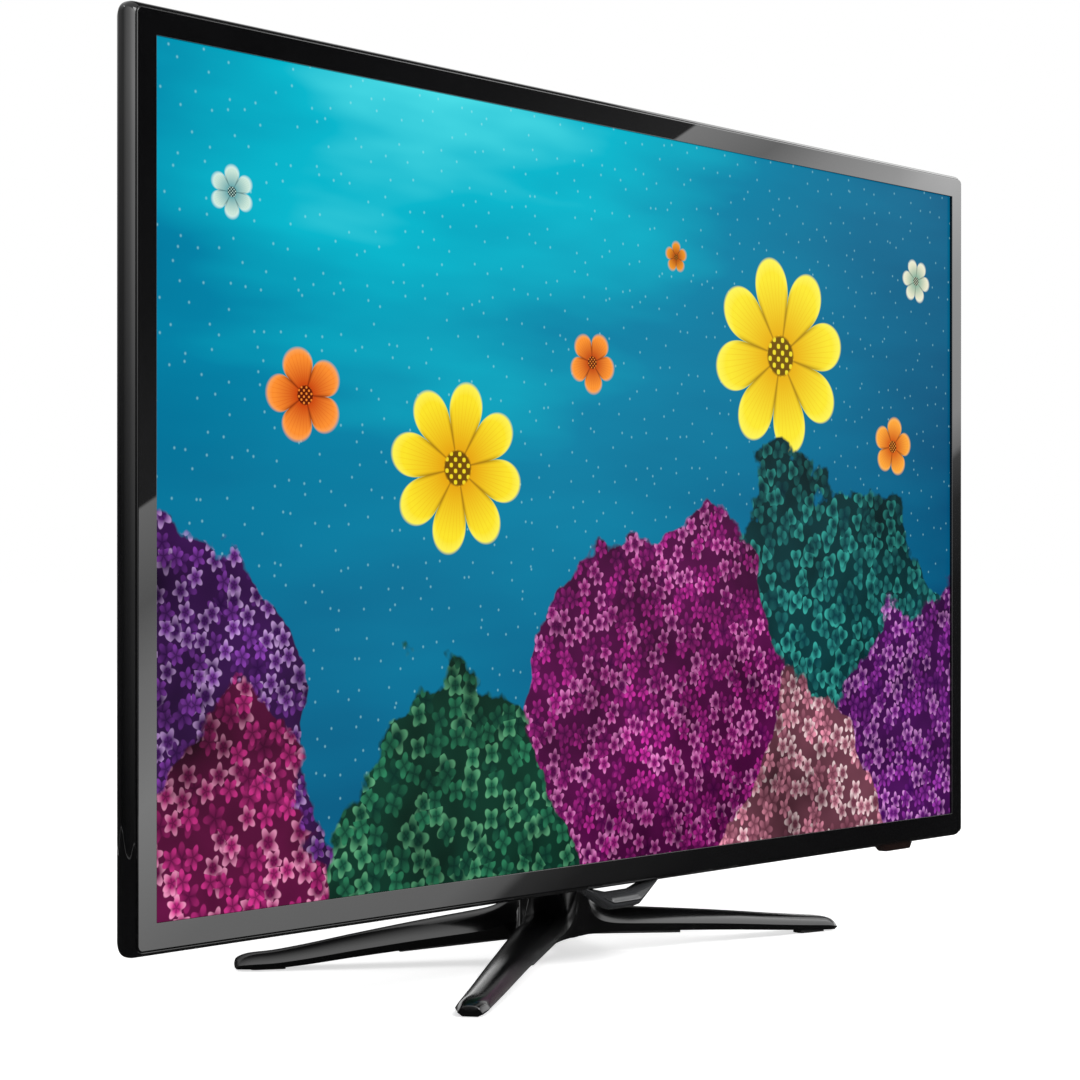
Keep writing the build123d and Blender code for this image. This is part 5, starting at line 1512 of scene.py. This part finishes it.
# The ways along which the cards' brightness runs, and its stops: (place in metres, brightness).
X, Y, Z = (1.0, 0.0, 0.0), (0.0, 1.0, 0.0), (0.0, 0.0, 1.0)
FACE_WAY, LEG_WAY = (-0.52, 0.0, 1.0), (-0.602, -0.799, 0.0)
FACE_STOPS = (
    (-0.396, 0.02), (-0.24, 0.05), (-0.153, 0.15), (-0.109, 0.4), (-0.099, 1.2), (-0.064, 1.9), (0.08, 2.4),
    (0.201, 3.7), (0.291, 2.7), (0.342, 1.6), (0.411, 2.5), (0.4135, 0.22), (0.554, 0.07), (0.68, 0.015),
)
FACE_ENDS = ((0.2, 1.0), (0.84, 1.0), (0.94, 1.3))
SIDE_STOPS = ((0.0, 0.03), (0.07, 0.055), (0.25, 0.24), (0.42, 0.62), (0.6, 1.45), (0.75, 2.1))
SIDE_ENDS = ((-1.2, 2.8), (-0.15, 1.2), (0.4, 0.5), (0.75, 0.2))
LEG_STOPS = ((-0.015, 0.02), (0.004, 0.2), (0.02, 0.9), (0.05, 2.4))
LEG_ENDS = ((-0.03, 0.0), (-0.012, 1.0))
CARDS = (
    Card("face_card", (-0.27, -0.354, 0.002), (1.0, -0.354, 0.7), FACE_WAY, FACE_STOPS, X, FACE_ENDS),
    Card("side_card", (-1.3, -1.3, 0.002), (-1.3, 0.95, 1.5), Z, SIDE_STOPS, Y, SIDE_ENDS),
    Card("back_card", (-1.3, 0.95, 0.002), (1.9, 0.95, 1.5), Z, ((0.0, 0.03), (0.35, 0.05), (1.5, 1.0))),
    Card("floor_card", (-1.3, -1.5, 0.0004), (1.9, 0.95, 0.0004), Y, ((-1.5, 1.0), (-0.6, 0.03))),
    Card("front_card", (-1.0, -1.5, 0.002), (1.9, -1.5, 1.3), Z, ((0.0, 0.03), (0.9, 0.06), (1.3, 0.6))),
    Card("hood_card", (-0.4, -0.2, 0.8), (1.5, 0.06, 0.8), X, ((0.28, 0.08), (0.34, 1.3), (0.6, 2.4))),
    Card("low_card", (1.9, -0.2, 0.002), (1.9, 0.95, 0.9), Z, ((0.0, 2.2), (0.35, 2.0), (0.6, 0.05))),
    Card("leg_card", (-0.28, -0.03, 0.0604), (-0.075, 0.15, 0.0604), LEG_WAY, LEG_STOPS, Y, LEG_ENDS, True),
)


@dataclass(frozen=True)
class Lamp:
    """A soft lamp that the camera doesn't see: its place and size in metres, and its power."""

    name: str
    place: Place
    width: float
    height: float
    power: float
    aim: Place = (0.0, 0.0, 0.3)

    def build(self) -> None:
        """Builds the lamp."""
        data = bpy.data.lights.new(self.name, "AREA")
        data.shape, data.size, data.size_y, data.energy = "RECTANGLE", self.width, self.height, self.power
        lamp = placed_object(self.name, data)
        lamp.location = self.place
        lamp.rotation_mode = "QUATERNION"
        lamp.rotation_quaternion = (Vector(self.aim) - Vector(self.place)).to_track_quat("-Z", "Y")
        lamp.visible_camera = False


LAMPS = (
    Lamp("key", (-1.2, -2.4, 2.6), 2.0, 1.4, 70.0),
    Lamp("fill", (2.6, -1.6, 1.8), 1.6, 1.6, 30.0),
    Lamp("rim", (-1.5, 2.4, 2.2), 2.0, 1.0, 40.0),
)


@dataclass
class Studio:
    """Camera, floor, backdrop, cards and lamps."""

    camera_place: Place = (-1554.1, -1219.2, 277.3)
    look: Place = (0.7844, 0.6203, 0.0)
    lens: float = 93.59
    sensor: float = 36.0
    shift_up: float = 0.0222
    nearest: float = 0.05
    furthest: float = 60.0
    floor_half: float = 30.0
    floor_grey: Colour = (0.82, 0.82, 0.82)
    floor_glow: float = 0.64
    sky: float = 0.45

    def camera(self) -> None:
        """The camera at the photograph's place and angle."""
        data = bpy.data.cameras.new("camera")
        data.lens, data.sensor_width, data.sensor_fit = self.lens, self.sensor, "AUTO"
        data.shift_y = self.shift_up
        data.clip_start, data.clip_end = self.nearest, self.furthest
        camera = placed_object("camera", data)
        camera.location = Vector(self.camera_place) * MM
        camera.rotation_mode = "QUATERNION"
        camera.rotation_quaternion = Vector(self.look).to_track_quat("-Z", "Y")
        bpy.context.scene.camera = camera

    @staticmethod
    def seen(nodes: Nodes) -> Signal:
        """What the camera sees, straight, in gloss or through glass.

        Args:
            nodes: the material's nodes.

        Returns:
            1 for it, and 0 for plain light.
        """
        path = nodes.add("ShaderNodeLightPath")
        kinds = ("Camera", "Glossy", "Transmission")
        camera, gloss, glass = (nodes.tap(path, f"Is {kind} Ray") for kind in kinds)
        return camera.maths("MAXIMUM", gloss).maths("MAXIMUM", glass)

    def floor(self) -> None:
        """A pale floor that shows white to the eye and keeps the object's shadow."""
        half = self.floor_half
        nodes = stage_sheet("floor", (-half, -half, 0.0), (half, half, 0.0))[1]
        plain = nodes.tree.nodes["Principled BSDF"]
        for key, value in (("Base Color", self.floor_grey), ("Roughness", 0.9), ("Specular IOR Level", 0.0)):
            nodes.feed(plain.inputs[key], value)
        bare = nodes.tap(plain)
        glow = nodes.out("ShaderNodeEmission", Color=(1.0, 1.0, 1.0), Strength=self.floor_glow)
        both = nodes.out("ShaderNodeAddShader", _0=bare, _1=glow)
        surface = nodes.out("ShaderNodeMixShader", _0=self.seen(nodes), _1=bare, _2=both)
        nodes.feed(nodes.tree.nodes["Material Output"].inputs["Surface"], surface)

    def world(self) -> None:
        """White to the eye, to gloss and through glass, and a plain soft grey as light."""
        world = bpy.data.worlds.new("studio")
        bpy.context.scene.world = world
        world.use_nodes = True
        nodes = Nodes(world.node_tree)
        back = world.node_tree.nodes["Background"].inputs
        nodes.feed(back["Color"], (1.0, 1.0, 1.0))
        nodes.feed(back["Strength"], self.seen(nodes).band(0.0, 1.0, self.sky, 1.0))

    def build(self) -> None:
        """Builds the studio."""
        self.camera()
        self.floor()
        self.world()
        for thing in CARDS + LAMPS:
            thing.build()


def main() -> None:
    """Loads the frame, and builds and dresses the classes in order."""
    logging.basicConfig(level=logging.INFO, format="%(message)s")
    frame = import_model()
    bpy.context.scene.view_settings.view_transform = "Standard"
    wardrobe = Wardrobe(frame)
    wardrobe.dress_nodes()
    for part in (Surround(), Cradle(), SensorLens(), StarStand()):
        part.build(wardrobe)
    Studio().build()
    bpy.context.view_layer.update()
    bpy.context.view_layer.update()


if __name__ == "__main__":
    main()
